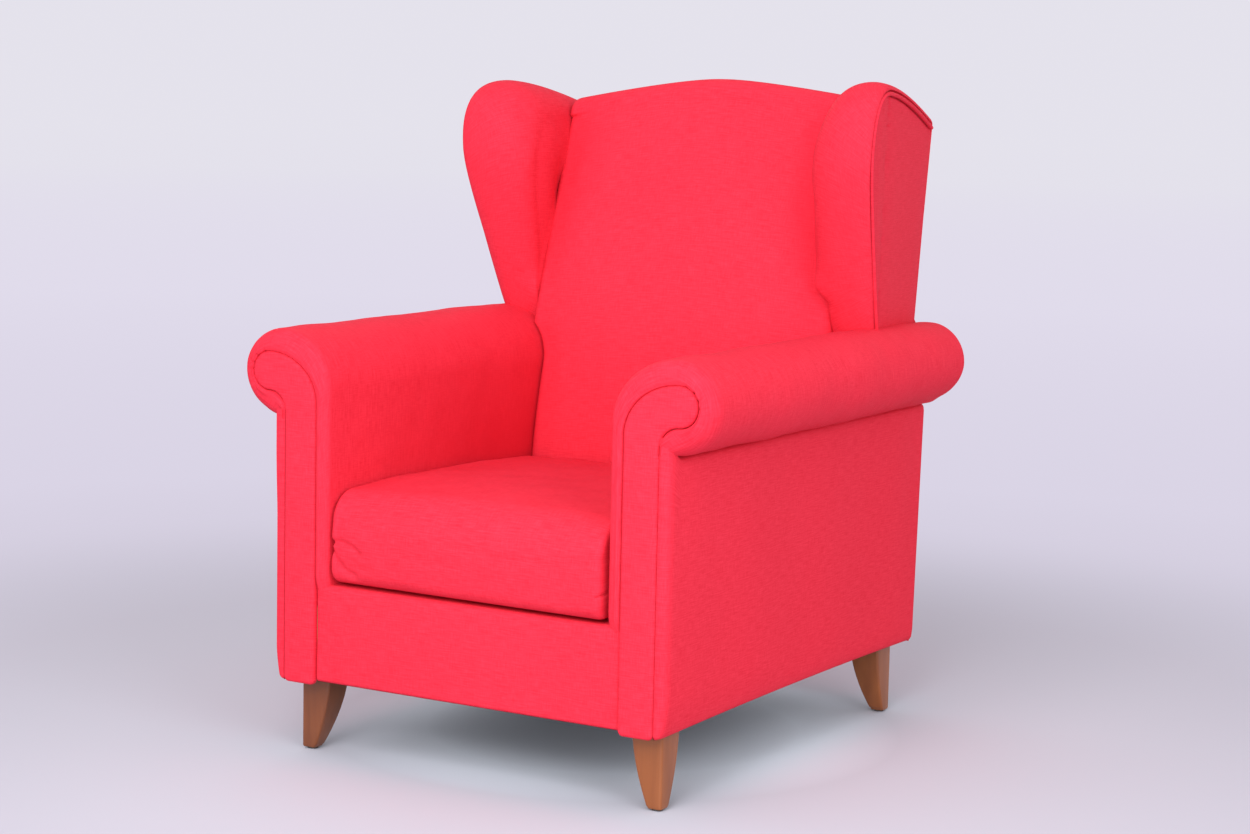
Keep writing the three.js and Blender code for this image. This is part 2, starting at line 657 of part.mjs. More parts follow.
// The padded wing: flat outside, flared inside, and a full roll round its front and top edges.
function wingForm() {
  const hub = [WING_TAIL_Y, WING_FOOT_Z - WING_BURY];
  const roll = WING_ROLL_SHARES.map((share) => {
    const turn = QUARTER_TURN * share;
    return [WING_ROLL * (1 - Math.cos(turn)), Math.sin(turn), WING_PROUD * Math.sin(2 * turn)];
  });
  const rings = wingEdge(0).map(([y, z]) => {
    const length = Math.hypot(hub[0] - y, hub[1] - z);
    const levels = [
      ...roll,
      [THREE.MathUtils.lerp(WING_ROLL, length, WING_WEB_SHARE), 1, 0],
      [length, 1, 0],
    ];
    const places = levels.map(([depth, fullness, proud]) => {
      const at = [
        THREE.MathUtils.lerp(y, hub[0], depth / length),
        THREE.MathUtils.lerp(z, hub[1], depth / length),
      ];
      const outer = wingOuter(...at);
      const inner = wingInner(...at);
      const middle = (outer + inner) / 2;
      const half = ((outer - inner) / 2) * fullness;
      return [[middle + half + proud, ...at], [middle - half, ...at]];
    });
    const outerSide = places.map(([outer]) => outer);
    const innerSide = places.slice(1).map(([, inner]) => inner).reverse();
    return [...outerSide, ...innerSide];
  });
  return loft(rings, [1, 0], [2, 0]);
}

function wingPad() {
  const panelPocket = wingPlate(WELT_INSET - WELT_RADIUS - GAP, PANEL + GAP, -SCROLL_RADIUS);
  const boardPocket = wingPlate(WING_BOARD_INSET - GAP, PANEL + WING_BOARD + 3 * GAP, 0);
  return cut(wingForm(), armSpace, rearCut, panelPocket, boardPocket, backPost(GAP));
}

const wingFrame = () => cut(
  wingPlate(WING_BOARD_INSET, PANEL + WING_BOARD + 2 * GAP, PANEL + 2 * GAP),
  armSpace, rearCut, backPost(GAP),
);

const outsideWing = () => cut(wingPlate(WELT_INSET + WELT_RADIUS + GAP, PANEL, 0), armSpace, rearCut);

// The piping between the wing's outside panel and its rolled edge.
function wingWelt() {
  const path = wingEdge(WELT_INSET).map(([y, z]) => [wingOuter(y, z), y, z]);
  const across = new THREE.Vector3(1, 0, 0);
  return cut(loft(barRings(path, WELT_RADIUS, WELT_SIDES, across), [0, 1], [0, 2]), armSpace, rearCut);
}

// Seat

// Centre of the wire: it lies on the front and back rails and is lightly crowned between them.
function springHeight(y) {
  const middle = (POST_REAR_Y + REAR_INNER_Y - TIMBER) / 2;
  const half = middle - POST_FRONT_Y;
  return RAIL_TOP_Z + GAP + SPRING_RADIUS + SPRING_CROWN * Math.max(0, 1 - ((y - middle) / half) ** 2);
}

// Rows of zigzag wire run from the front rail to the back rail.
function seatSpring(index) {
  const pitch = 2 * ARM_INNER_X * SPRING_PITCH_SHARE;
  const centre = pitch * (index - (SPRINGS - 1) / 2);
  const first = POST_REAR_Y - SPRING_LOOP / 2;
  const last = REAR_INNER_Y - TIMBER / 2;
  const loops = Math.round((last - first) / SPRING_LOOP);
  const loop = (last - first) / loops;
  const straight = SPRING_HALF_WIDTH - loop / 2;
  const points = [];
  for (let i = 0; i <= loops; i += 1) {
    const hand = i % 2 === 0 ? 1 : -1;
    const y = first + loop * i;
    points.push([-hand * straight, y], [hand * straight, y]);
    if (i < loops) {
      points.push([hand * SPRING_HALF_WIDTH, y + loop / 2]);
    }
  }
  const path = points.map(([x, y]) => [centre + x, y, springHeight(y)]);
  return loft(barRings(path, SPRING_RADIUS, SPRING_SIDES, new THREE.Vector3(0, 0, 1)), [1, 2]);
}

function seatDeck() {
  const front = FRONT_BORDER_Y + BORDER_ROLL_DEPTH + GAP;
  const rear = REAR_INNER_Y;
  const stations = DECK_STATION_SHARES.map((share) => THREE.MathUtils.lerp(front, rear, share));
  const under = stations.map((y) => [y, springHeight(y) + SPRING_RADIUS + GAP]);
  const section = shapeOf([...under, [rear, DECK_TOP_Z], [front, DECK_TOP_Z]]);
  return prism('x', section, -BETWEEN_POSTS, BETWEEN_POSTS);
}

// The border under the cushion, rolled over the top of the front rail.
function frontBorder() {
  const rail = FACING_THICK;
  const roll = FRONT_BORDER_Y + BORDER_ROLL_DEPTH;
  const section = new THREE.Shape();
  section.moveTo(FRONT_BORDER_Y, SKIRT_Z);
  section.lineTo(rail, SKIRT_Z);
  section.lineTo(rail, RAIL_TOP_Z + GAP);
  section.lineTo(roll, RAIL_TOP_Z + GAP);
  section.lineTo(roll, DECK_TOP_Z);
  section.lineTo(FRONT_BORDER_Y + BORDER_ROLL, DECK_TOP_Z);
  section.absarc(
    FRONT_BORDER_Y + BORDER_ROLL, DECK_TOP_Z - BORDER_ROLL, BORDER_ROLL, QUARTER_TURN, HALF_TURN, false,
  );
  return prism('x', section, -FACING_INNER_X + GAP, FACING_INNER_X - GAP);
}

// Cushion

// One level of the cushion's plan: four sides drawn in between the corners.
function cushionRing(z, inset, nose) {
  const x = CUSHION_HALF_WIDTH - inset;
  const front = CUSHION_FRONT_Y + inset + nose;
  const rear = CUSHION_REAR_Y - inset;
  const corners = [[-x, front], [x, front], [x, rear], [-x, rear]];
  return corners.flatMap(([fromX, fromY], side) => {
    const [toX, toY] = corners[(side + 1) % corners.length];
    const length = Math.hypot(toX - fromX, toY - fromY);
    const inward = [-(toY - fromY) / length, (toX - fromX) / length];
    return CUSHION_SIDE_SHARES.map((share) => {
      const draw = CUSHION_DRAW * Math.sin(HALF_TURN * share);
      return [
        THREE.MathUtils.lerp(fromX, toX, share) + inward[0] * draw,
        THREE.MathUtils.lerp(fromY, toY, share) + inward[1] * draw,
        z,
      ];
    });
  });
}

// The cushion's form: flat below, a rolled front edge and a crown, all of it shrunk by one thickness.
function cushionForm(shrink) {
  const foot = DECK_TOP_Z + GAP + shrink;
  const edge = CUSHION_EDGE_Z - shrink;
  const crown = CUSHION_CROWN_Z - shrink;
  const border = CUSHION_LEVEL_SHARES.map(([height, corner, nose]) => cushionRing(
    THREE.MathUtils.lerp(foot, edge, height),
    shrink + CUSHION_CORNER * corner,
    CUSHION_NOSE * nose,
  ));
  const top = CUSHION_CROWN_SHARES.map((share) => cushionRing(
    THREE.MathUtils.lerp(edge, crown, 1 - (1 - share) ** 2),
    shrink + CUSHION_CORNER + (CUSHION_HALF_WIDTH - 2 * CUSHION_CORNER) * share,
    CUSHION_NOSE,
  ));
  return loft([...border, ...top], [0, 1]);
}

const zipSlot = (grow) => block(
  -ZIP_LENGTH / 2 - grow, ZIP_LENGTH / 2 + grow,
  CUSHION_REAR_Y - CUSHION_CORNER, CUSHION_REAR_Y + OVERRUN,
  (DECK_TOP_Z + CUSHION_EDGE_Z - ZIP_WIDTH) / 2 - grow, (DECK_TOP_Z + CUSHION_EDGE_Z + ZIP_WIDTH) / 2 + grow,
);

const cushionShell = () => cut(cushionForm(0), cushionForm(CUSHION_COVER));

// Legs and what fixes them

const LEG_TOP_Z = RAIL_BOTTOM_Z - GAP;
const LEG_X = BODY_HALF_WIDTH - LEG_SIDE_INSET;
// Legs stand in pairs, each turned so that its two curved faces look inward.
const LEG_ROWS = [
  ['front', LEG_FRONT_INSET, 1],
  ['rear', REAR_FOOT_Y - LEG_REAR_INSET, -1],
];

// The cloth under the seat, cut out round the legs.
function dustCover() {
  const top = LEG_TOP_Z;
  const sheet = block(-RAIL_OUTER_X, RAIL_OUTER_X, POST_FRONT_Y, REAR_INNER_Y, top - DUST_COVER_THICK, top);
  const holes = LEG_ROWS.map(([, y, hand]) => {
    const reach = hand * LEG_TOP;
    const low = Math.min(y, y + reach) - GAP;
    const high = Math.max(y, y + reach) + GAP;
    return block(LEG_X - LEG_TOP - GAP, LEG_X + GAP, low, high, 0, RAIL_TOP_Z);
  });
  return cut(sheet, ...holes, ...holes.map(mirrored));
}

// The bolt in the middle of a leg's top, half of it in the leg, or grown by a fit to make its hole.
const legBolt = (x, y, grow) => rod(
  BOLT_RADIUS + grow, x, y, LEG_TOP_Z - BOLT_LENGTH / 2 - grow, LEG_TOP_Z + BOLT_LENGTH / 2 + grow,
);

const boltHole = ([, y, hand]) => legBolt(LEG_X - LEG_TOP / 2, y + (hand * LEG_TOP) / 2, GAP);

// A leg from its outer corner: square at the top, its two inner faces curving in to the foot.
function legForm() {
  const rings = LEG_STATION_SHARES.map((share) => {
    const z = THREE.MathUtils.lerp(LEG_TOP_Z, GLIDE_THICK + GAP, share);
    const size = LEG_TOP - LEG_TAPER * share ** LEG_TAPER_POWER_SHARE;
    const near = LEG_CHAMFER;
    const far = size - LEG_CHAMFER;
    return [
      [-near, 0], [0, near], [0, far], [-near, size], [-far, size], [-size, far], [-size, near], [-far, 0],
    ].map(([x, y]) => [x, y, z]);
  });
  return loft(rings, [0, 1]);
}

// A triangle of timber glued into the corner of the rails.
const cornerBlock = (x, y, hand) => prism(
  'z',
  shapeOf([[x, y], [x - BLOCK_SIDE, y], [x, y + hand * BLOCK_SIDE]]),
  RAIL_BOTTOM_Z,
  RAIL_BOTTOM_Z + BLOCK_HEIGHT,
);

// Assembly

const chair = new THREE.Group();

function add(name, piece, material, parent = chair) {
  const mesh = new THREE.Mesh(geometryOf(piece), material);
  mesh.name = name;
  parent.add(mesh);
  return mesh;
}

const LEG_MIDDLE = LEG_TOP / 2;
const leg = cut(legForm(), legBolt(-LEG_MIDDLE, LEG_MIDDLE, GAP));
const bolt = legBolt(-LEG_MIDDLE, LEG_MIDDLE, 0);
const FOOT_MIDDLE = (LEG_TOP - LEG_TAPER) / 2;
const glide = rod(GLIDE_RADIUS, -FOOT_MIDDLE, FOOT_MIDDLE, 0, GLIDE_THICK);

const [FRONT_LEGS, REAR_LEGS] = LEG_ROWS;
const frontPost = block(
  TIMBER_INNER_X, RAIL_OUTER_X,
  POST_FRONT_Y, POST_REAR_Y,
  RAIL_BOTTOM_Z, ARM_SPRING_Z - GAP,
);
const sideRail = block(
  RAIL_INNER_X, RAIL_OUTER_X,
  POST_REAR_Y + GAP, REAR_INNER_Y,
  RAIL_BOTTOM_Z, SIDE_RAIL_TOP_Z,
);
const tackRail = block(
  TIMBER_INNER_X, TIMBER_INNER_X + TIMBER,
  POST_REAR_Y + GAP, BACK_POST_FRONT_Y - GAP,
  TACK_RAIL_Z, TACK_RAIL_Z + TACK_RAIL_HEIGHT,
);
const frontBlock = cornerBlock(RAIL_INNER_X - GAP, POST_REAR_Y + GAP, 1);
const rearBlock = cornerBlock(BETWEEN_POSTS, REAR_INNER_Y - TIMBER - GAP, -1);

// The pieces of the left half, drawn in place. The right half is their mirror image.
const sidePieces = [
  ['front_post', frontPost, timber],
  ['back_post', cut(backPost(0), boltHole(REAR_LEGS)), timber],
  ['side_rail', sideRail, timber],
  ['arm_tack_rail', tackRail, timber],
  ['arm_board', armBoard(), timber],
  ['wing_frame', wingFrame(), timber],
  ['corner_block_front', cut(frontBlock, boltHole(FRONT_LEGS)), timber],
  ['corner_block_rear', rearBlock, timber],
  ['inside_arm', insideArm(), fabric],
  ['arm_facing', armFacing(), fabric],
  ['outside_arm', outsideArm(), fabric],
  ['wing_pad', wingPad(), fabric],
  ['outside_wing', outsideWing(), fabric],
  ['wing_welt', wingWelt(), piping],
];

for (const [side, hand] of SIDES) {
  const half = new THREE.Group();
  half.scale.x = hand;
  chair.add(half);
  for (const [name, piece, material] of sidePieces) {
    add(`${name}_${side}`, piece, material, half);
  }
  for (const [row, y, facing] of LEG_ROWS) {
    const corner = new THREE.Group();
    corner.position.set(LEG_X, y, 0);
    corner.scale.y = facing;
    half.add(corner);
    add(`leg_${row}_${side}`, leg, legWood, corner);
    add(`leg_bolt_${row}_${side}`, bolt, steel, corner);
    add(`glide_${row}_${side}`, glide, nylon, corner);
  }
}

const seatRail = (front, rear) => block(
  -BETWEEN_POSTS, BETWEEN_POSTS,
  front, rear,
  RAIL_BOTTOM_Z, RAIL_TOP_Z,
);
add('front_rail', seatRail(POST_FRONT_Y, POST_REAR_Y), timber);
add('back_rail', seatRail(REAR_INNER_Y - TIMBER, REAR_INNER_Y), timber);
add('lower_back_rail', lowerBackRail(), timber);
add('crest_rail', crestRail(0), timber);
for (let index = 0; index < SPRINGS; index += 1) {
  add(`seat_spring_${index + 1}`, seatSpring(index), steel);
}
for (let index = 0; index < WEBS; index += 1) {
  add(`back_web_${index + 1}`, backWeb(index), backing);
}
add('seat_deck', seatDeck(), backing);
add('front_border', frontBorder(), fabric);
add('inside_back', insideBack(), fabric);
add('outside_back', outsideBack(), fabric);
add('dust_cover', dustCover(), backing);

add('cushion_cover', cut(cushionShell(), zipSlot(0)), fabric);
add('cushion_zip', cushionShell().intersect(zipSlot(-GAP)), piping);
add('cushion_core', cushionForm(CUSHION_COVER + GAP), foam);

// The origin is on the floor, under the middle of the chair.
chair.updateMatrixWorld(true);
const extent = new THREE.Box3().setFromObject(chair, true);
chair.position.y = -(extent.min.y + extent.max.y) / 2;

export default chair;
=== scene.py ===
"""The looks of a fireside chair: a high winged back, scroll arms, a loose cushion and shaped legs.

Metres, +Z up. The chair faces -Y, and left and right are the sitter's, so left is +X.
The shapes below are worked out with y measured from the front of the arm facings. In a mesh
every point is moved by CHAIR_FRONT_Y, so that it lies where the frame has it. The left half is
drawn, and the right half is its mirror image but for some signs of use.

A name that ends in STEP holds where a smooth step starts and how far it runs. One that ends in
LUMPS holds the height, the size and the seed of each set of soft lumps. One that ends in EDGE
holds a rounded edge's radius, and the depth and the run of the hollow inside it.
"""

import bmesh
import bpy
import numpy as np
from mathutils import Matrix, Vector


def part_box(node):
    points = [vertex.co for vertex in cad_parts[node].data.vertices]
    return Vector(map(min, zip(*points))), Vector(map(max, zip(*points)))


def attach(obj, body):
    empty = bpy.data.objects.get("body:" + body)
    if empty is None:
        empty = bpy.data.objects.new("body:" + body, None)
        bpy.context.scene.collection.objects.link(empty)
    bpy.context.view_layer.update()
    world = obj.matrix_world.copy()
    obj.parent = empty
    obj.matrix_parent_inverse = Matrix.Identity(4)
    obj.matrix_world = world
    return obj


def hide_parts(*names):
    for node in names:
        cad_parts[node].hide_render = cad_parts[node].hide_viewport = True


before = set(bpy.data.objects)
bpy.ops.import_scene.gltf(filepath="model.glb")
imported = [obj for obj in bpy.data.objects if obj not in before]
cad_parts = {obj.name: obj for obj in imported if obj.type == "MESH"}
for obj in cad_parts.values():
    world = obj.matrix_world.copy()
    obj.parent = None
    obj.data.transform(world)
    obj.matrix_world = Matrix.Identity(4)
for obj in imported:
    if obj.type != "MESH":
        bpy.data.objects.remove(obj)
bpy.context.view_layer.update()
CHAIR_FRONT_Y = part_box("arm_facing_left")[0][1]

# Meshes
WELD = 1e-5
TINY = 1e-9
TINY_AREA = 1e-12
SHARP_TURN = 0.9
WAVES = 7
WAVE_SHARES = (0.7, 1.5)

# The upholstered body
BODY_HALF_WIDTH = 0.335
SKIRT_Z = 0.118
SKIRT_SAG = 0.0042
SKIRT_SAG_STEP = (SKIRT_Z, 0.06)
REAR_FOOT_Y = 0.848
REAR_LEAN_SHARE = 0.042
REAR_FLARE = 0.0045
DECK_Z = 0.2717
PANEL = 0.0047
PANEL_TOP_Z = 0.513
SEAM = 0.0004

# Arms
ARM_INNER_X = 0.245
ARM_SPRING_Z = 0.560
ARM_FRONT_Y = 0.003
ARM_REAR_Y = 0.869
ARM_MIDDLE_X = 0.296
ARM_FOOT_Z = 0.235
SCROLL = (0.343, 0.583)
SCROLL_RADIUS = 0.068
ARM_TOP_Z = SCROLL[1] + SCROLL_RADIUS
FACING_INNER_X = 0.267
FACING_OUTER_X = 0.325
FACING_SHOULDER_Z = 0.540
FACING_HEAD = (0.355, 0.586)
FACING_NECK = (0.355, 0.526)
FACING_HEAD_RADIUS = 0.030
FACING_FOOT_Z = 0.1122
FACING_THICK = 0.012

# Back
BACK_HALF_WIDTH = 0.275
SEAT_BACK_Y = 0.556
BACK_RAKE = 1.27
BACK_CROWN = 0.018
CREST_FRONT_Y = 0.723
CREST_SIDE_Z = 1.000
CREST_TOP_Z = 1.040
CREST_FALL_LEFT = 0.033
CREST_FALL_RIGHT = 0.043
CREST_POWER = 1.25
CREST_SOFTNESS = 0.030
CREST_RADIUS = 0.033
CREST_PADDING = 0.043

# Wings
WING_REAR_X = 0.314
WING_SPREAD_SHARE = 0.0443
WING_FLARE_SHARE = 0.15
WING_FULL_SHARE = 0.15
WING_FULL_BY = 0.11
WING_FOOT = (0.627, 0.650)
WING_NOSE = (0.535, 0.925)
WING_TOP = (0.628, 1.031)
WING_TAIL_Z = 0.976
WING_LIFT = 0.0075
WING_FULL_STEP = (WING_FOOT[1], 0.08)
WING_THIN_STEP = (0.90, 0.12)
WING_THIN_SHARE = 0.75
WELT_INSET = 0.018
WELT_RADIUS = 0.0033

# Cushion
CUSHION_HALF_WIDTH = 0.242
CUSHION_REAR_Y = 0.552
CUSHION_EDGE_Z = 0.408

# Legs
LEG_X = 0.319
LEG_FRONT_Y = 0.043
LEG_REAR_Y = 0.808
LEG_TOP_Z = 0.1237
LEG_FOOT_Z = 0.0033
LEG_TOP = 0.052
LEG_TAPER = 0.028


def grid_faces(rows, columns):
    """Quads of a grid of points, row after row."""
    index = np.arange(rows * columns).reshape(rows, columns)
    quads = [index[:-1, :-1], index[:-1, 1:], index[1:, 1:], index[1:, :-1]]
    return np.stack(quads, axis=-1).reshape(-1, 4)


def lengths(points):
    """Distance along a line of points, from its first one."""
    steps = np.linalg.norm(np.diff(points, axis=0), axis=-1)
    return np.concatenate([[0.0], np.cumsum(steps)])


def cloth_places(points):
    """Where a grid's points lie on flat cloth: the mean lengths along its columns and its rows."""
    along = np.linalg.norm(np.diff(points, axis=0), axis=-1).mean(axis=1)
    across = np.linalg.norm(np.diff(points, axis=1), axis=-1).mean(axis=0)
    u = np.concatenate([[0.0], np.cumsum(across)])
    v = np.concatenate([[0.0], np.cumsum(along)])
    return np.stack(np.meshgrid(u, v), axis=-1)


def welded_mesh(name, corners, faces, cloth):
    """A mesh with its places on flat cloth, welded where points meet, its faces outward."""
    mesh = bpy.data.meshes.new(name)
    mesh.from_pydata(corners.tolist(), [], faces)
    layer = mesh.uv_layers.new(name="cloth")
    owners = np.empty(len(mesh.loops), dtype=np.int32)
    mesh.loops.foreach_get("vertex_index", owners)
    layer.data.foreach_set("uv", cloth[owners].astype(np.float32).ravel())
    work = bmesh.new()
    work.from_mesh(mesh)
    bmesh.ops.remove_doubles(work, verts=work.verts, dist=WELD)
    bmesh.ops.dissolve_degenerate(work, edges=work.edges, dist=WELD)
    bmesh.ops.recalc_face_normals(work, faces=work.faces)
    work.to_mesh(mesh)
    work.free()
    mesh.shade_smooth()
    mesh.set_sharp_from_angle(angle=SHARP_TURN)
    return mesh


def make_piece(name, sheets, body, slot, material, fills=(), mirror=False, fill=None):
    """One closed mesh from grids of points and flat fills.

    A sheet is a rows by columns by 3 array, or that and its places on flat cloth. A fill is a closed
    line of points.
    """
    corners, faces, cloth = [], [], []
    start = 0
    for sheet in sheets:
        points, places = sheet if isinstance(sheet, tuple) else (sheet, cloth_places(sheet))
        rows, columns = points.shape[:2]
        corners.append(points.reshape(-1, 3))
        faces.extend((grid_faces(rows, columns) + start).tolist())
        cloth.append(places.reshape(-1, 2))
        start += rows * columns
    for rim_points in fills:
        corners.append(rim_points)
        faces.append(list(range(start, start + len(rim_points))))
        cloth.append(rim_points[:, ::2])
        start += len(rim_points)
    corners = np.concatenate(corners) + (0.0, CHAIR_FRONT_Y, 0.0)
    if mirror:
        corners = corners * (-1.0, 1.0, 1.0)
    mesh = welded_mesh(name, corners, faces, np.concatenate(cloth))
    mesh.materials.append(material)
    piece = bpy.data.objects.new(name, mesh)
    bpy.context.scene.collection.objects.link(piece)
    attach(piece, body)
    return piece


def both_sides(name, node, shape, **settings):
    """A piece and its mirror image, each in place of its solid. The shape takes 1 for left, -1 for right."""
    for side, hand in (("left", 1), ("right", -1)):
        piece = make_piece(f"{name}_{side}", shape(hand), "chair", mirror=hand < 0, **settings)
        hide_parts(f"{node}_{side}")


# Lines and surfaces


def spots(*parts):
    """Points from their coordinates, each a number or an array, spread to one shape."""
    return np.stack(np.broadcast_arrays(*parts), axis=-1)


def shares(count):
    """Even shares from 0 to 1."""
    return np.linspace(0.0, 1.0, count)


def close_set(count):
    """Shares from 0 to 1 that lie closer at both ends."""
    return (1.0 - np.cos(np.pi * shares(count))) / 2.0


def side_to_side(count):
    """Shares from -1 to 1 that lie closer at both ends."""
    return 2.0 * close_set(count) - 1.0


def quarter(count, start=0.0):
    """Angles through a quarter turn, from this many degrees."""
    return np.radians(np.linspace(start, start + 90.0, count))


def arc(centre, radii, start, end, count):
    """Points round an ellipse: its centre, plus its radii times the cosine and sine of the angle."""
    angle = np.radians(np.linspace(start, end, count))
    return spots(centre[0] + radii[0] * np.cos(angle), centre[1] + radii[1] * np.sin(angle))


def line(start, end, count):
    """Points spaced evenly on a straight line."""
    return np.linspace(start, end, count)


def joined(*parts):
    """Lines end to end, with the shared points once."""
    return np.concatenate([parts[0]] + [part[1:] for part in parts[1:]])


def curve(points, count):
    """A Bezier curve: straight lines between the points are divided alike until one point is left."""
    share = shares(count)[:, None]
    level = [np.array(point) for point in points]
    while len(level) > 1:
        level = [first + (second - first) * share for first, second in zip(level[:-1], level[1:])]
    return level[0]


def resampled(points, count):
    """The same line with its points spaced evenly."""
    run = lengths(points)
    places = np.linspace(0.0, run[-1], count)
    return spots(*(np.interp(places, run, points[:, axis]) for axis in range(points.shape[1])))


def turned_right(along):
    """Unit vectors a quarter turn to the right of these flat ones."""
    along = along / np.linalg.norm(along, axis=-1, keepdims=True)
    return spots(along[:, 1], -along[:, 0])


def distance_to_line(points, outline):
    """Shortest distance from each point to the straight pieces of an outline."""
    start, end = outline[:-1], outline[1:]
    edge = end - start
    squared = np.maximum((edge**2).sum(axis=-1), TINY_AREA)
    flat = points.reshape(-1, 1, 2)
    share = np.clip(((flat - start) * edge).sum(axis=-1) / squared, 0.0, 1.0)
    nearest = start + share[..., None] * edge
    return np.linalg.norm(flat - nearest, axis=-1).min(axis=1).reshape(points.shape[:-1])


def creased(places, marks):
    """Depth of drawn creases at flat places: for each mark a bell curve across its line."""
    depth = np.zeros(places.shape[:-1])
    for path, width, deep in marks:
        depth += deep * np.exp(-((distance_to_line(places, np.array(path)) / width) ** 2))
    return depth


def eased(value):
    """A smooth step from 0 to 1."""
    held = np.clip(value, 0.0, 1.0)
    return held * held * (3.0 - 2.0 * held)


def grown(value, start, run):
    """A smooth step from 0 at the start to 1 a run past it."""
    return eased((value - start) / run)


def faded(value, start, run):
    """A smooth step from 1 at the start to 0 a run past it."""
    return 1.0 - grown(value, start, run)


def rounding(distance, radius):
    """How far a rounded edge falls away: a quarter circle within its radius, nothing past it."""
    inside = np.clip(1.0 - distance / radius, 0.0, 1.0)
    return radius * (1.0 - np.sqrt(1.0 - inside**2))


def soft_edge(distance, radius, hollow, run):
    """How far a stuffed face falls away toward its rim: a rounded edge, and a hollow that fades inward."""
    return rounding(distance, radius) + hollow * faded(distance, 0.0, run)


def unevenness(points, size, seed):
    """Soft lumps about this size, from -1 to 1: the mean of a few sine waves in seeded directions."""
    chance = np.random.default_rng(seed)
    total = np.zeros(points.shape[:-1])
    for _ in range(WAVES):
        direction = chance.normal(size=3)
        direction /= np.linalg.norm(direction)
        phase = chance.uniform(0.0, 2.0 * np.pi)
        length = size * chance.uniform(*WAVE_SHARES)
        total += np.sin(2.0 * np.pi * points @ direction / length + phase)
    return total / np.sqrt(WAVES)


def lumpy(points, lumps):
    """Height of the cover's soft lumps at points."""
    return sum(height * unevenness(points, size, seed) for height, size, seed in lumps)


def outward(points):
    """Unit normals of a grid, from its rows and columns."""
    normal = np.cross(np.gradient(points, axis=1), np.gradient(points, axis=0))
    size = np.linalg.norm(normal, axis=-1, keepdims=True)
    return normal / np.maximum(size, TINY_AREA)


def skin(outer, inner, places=None):
    """A thin closed piece: its outer sheet, its inner one, and a wall between them round the edge."""
    places = cloth_places(outer) if places is None else places
    sheets = [(outer, places), (inner, places)]
    for cut in (np.s_[0, :], np.s_[-1, :], np.s_[:, 0], np.s_[:, -1]):
        sheets.append((np.stack([outer[cut], inner[cut]]), np.stack([places[cut], places[cut]])))
    return sheets


def rim(plan):
    """The outline of a grid of plan points."""
    return np.concatenate([plan[0], plan[1:, -1], plan[-1, -2::-1], plan[-2::-1, 0]])


def rear_face(z):
    """Rear of the chair: a line that leans back a little, and more towards the top."""
    height = (z - SKIRT_Z) / (CREST_TOP_Z - SKIRT_Z)
    return REAR_FOOT_Y + REAR_LEAN_SHARE * (z - SKIRT_Z) + REAR_FLARE * height**3


def back_front(z):
    """Front of the back at its edges: upright behind the cushion, then raked more and more."""
    height = np.maximum(0.0, z - CUSHION_EDGE_Z) / (CREST_SIDE_Z - CUSHION_EDGE_Z)
    return SEAT_BACK_Y + (CREST_FRONT_Y - SEAT_BACK_Y) * height**BACK_RAKE


def crest(x):
    """Top of the back: a hump that falls by a power of the distance from its rounded middle."""
    reach = (np.sqrt(x**2 + CREST_SOFTNESS**2) - CREST_SOFTNESS) / BACK_HALF_WIDTH
    return CREST_TOP_Z - np.where(x > 0.0, CREST_FALL_LEFT, CREST_FALL_RIGHT) * reach**CREST_POWER


def wing_outer(y, z):
    """Outer face of a wing: it spreads towards the top and towards the front."""
    forward = rear_face(WING_FOOT[1]) - y
    return WING_REAR_X + WING_SPREAD_SHARE * (z - WING_FOOT[1]) + WING_FLARE_SHARE * forward


def wing_inner(y, z):
    """Inner face of a wing: along the back's edge, and fuller in front of it."""
    ahead = np.clip(back_front(z) - y, 0.0, WING_FULL_BY)
    middle = grown(z, *WING_FULL_STEP) * (1.0 - WING_THIN_SHARE * grown(z, *WING_THIN_STEP))
    return BACK_HALF_WIDTH - WING_FULL_SHARE * ahead * middle


def arm_top(x):
    """Height of an arm at x: its arch as far as the scroll's centre, and the scroll's circle outside."""
    arch = np.sqrt(np.clip(1.0 - ((SCROLL[0] - x) / (SCROLL[0] - ARM_INNER_X)) ** 2, 0.0, 1.0))
    over = ARM_SPRING_Z + (ARM_TOP_Z - ARM_SPRING_Z) * arch
    round_scroll = SCROLL[1] + np.sqrt(np.clip(SCROLL_RADIUS**2 - (x - SCROLL[0]) ** 2, 0.0, None))
    return np.where(x < SCROLL[0], over, round_scroll)


def skirt_sag(out, z):
    """How far the foot of the covers hangs: by the square of the share of the way out to a corner."""
    return SKIRT_SAG * out**2 * faded(z, *SKIRT_SAG_STEP)


# Finishes

# Spans of the cover that count as inside the chair, where painted shade may fall
INSIDE_SPANS = (("across", 0.300, 0.285), ("y", 0.385, 0.355))
# Painted shade on the cover: how strongly it falls in each place, and the spans over which it sets in
PAINTED_SHADE_PLACES = (
    (1.0, (("across", 0.225, 0.256), ("y", -0.30, 0.00), ("z", 0.64, 0.45))),
    (0.95, (("across", 0.170, 0.235), ("y", 0.12, 0.24), ("z", 1.04, 0.94), ("z", 0.55, 0.80),
            ("x", -0.45, 0.30))),
    (0.18, (("z", 0.68, 0.45), ("y", 0.11, 0.13))),
)
THREAD_POWER = 0.4
THREAD_RELIEF = 0.00016
SLUB_RELIEF_SHARE = 0.8
# Detail and roughness of the slubs' noise
SLUB_NOISE = (3.0, 0.62)
SLUB_SPAN = (0.36, 0.64)
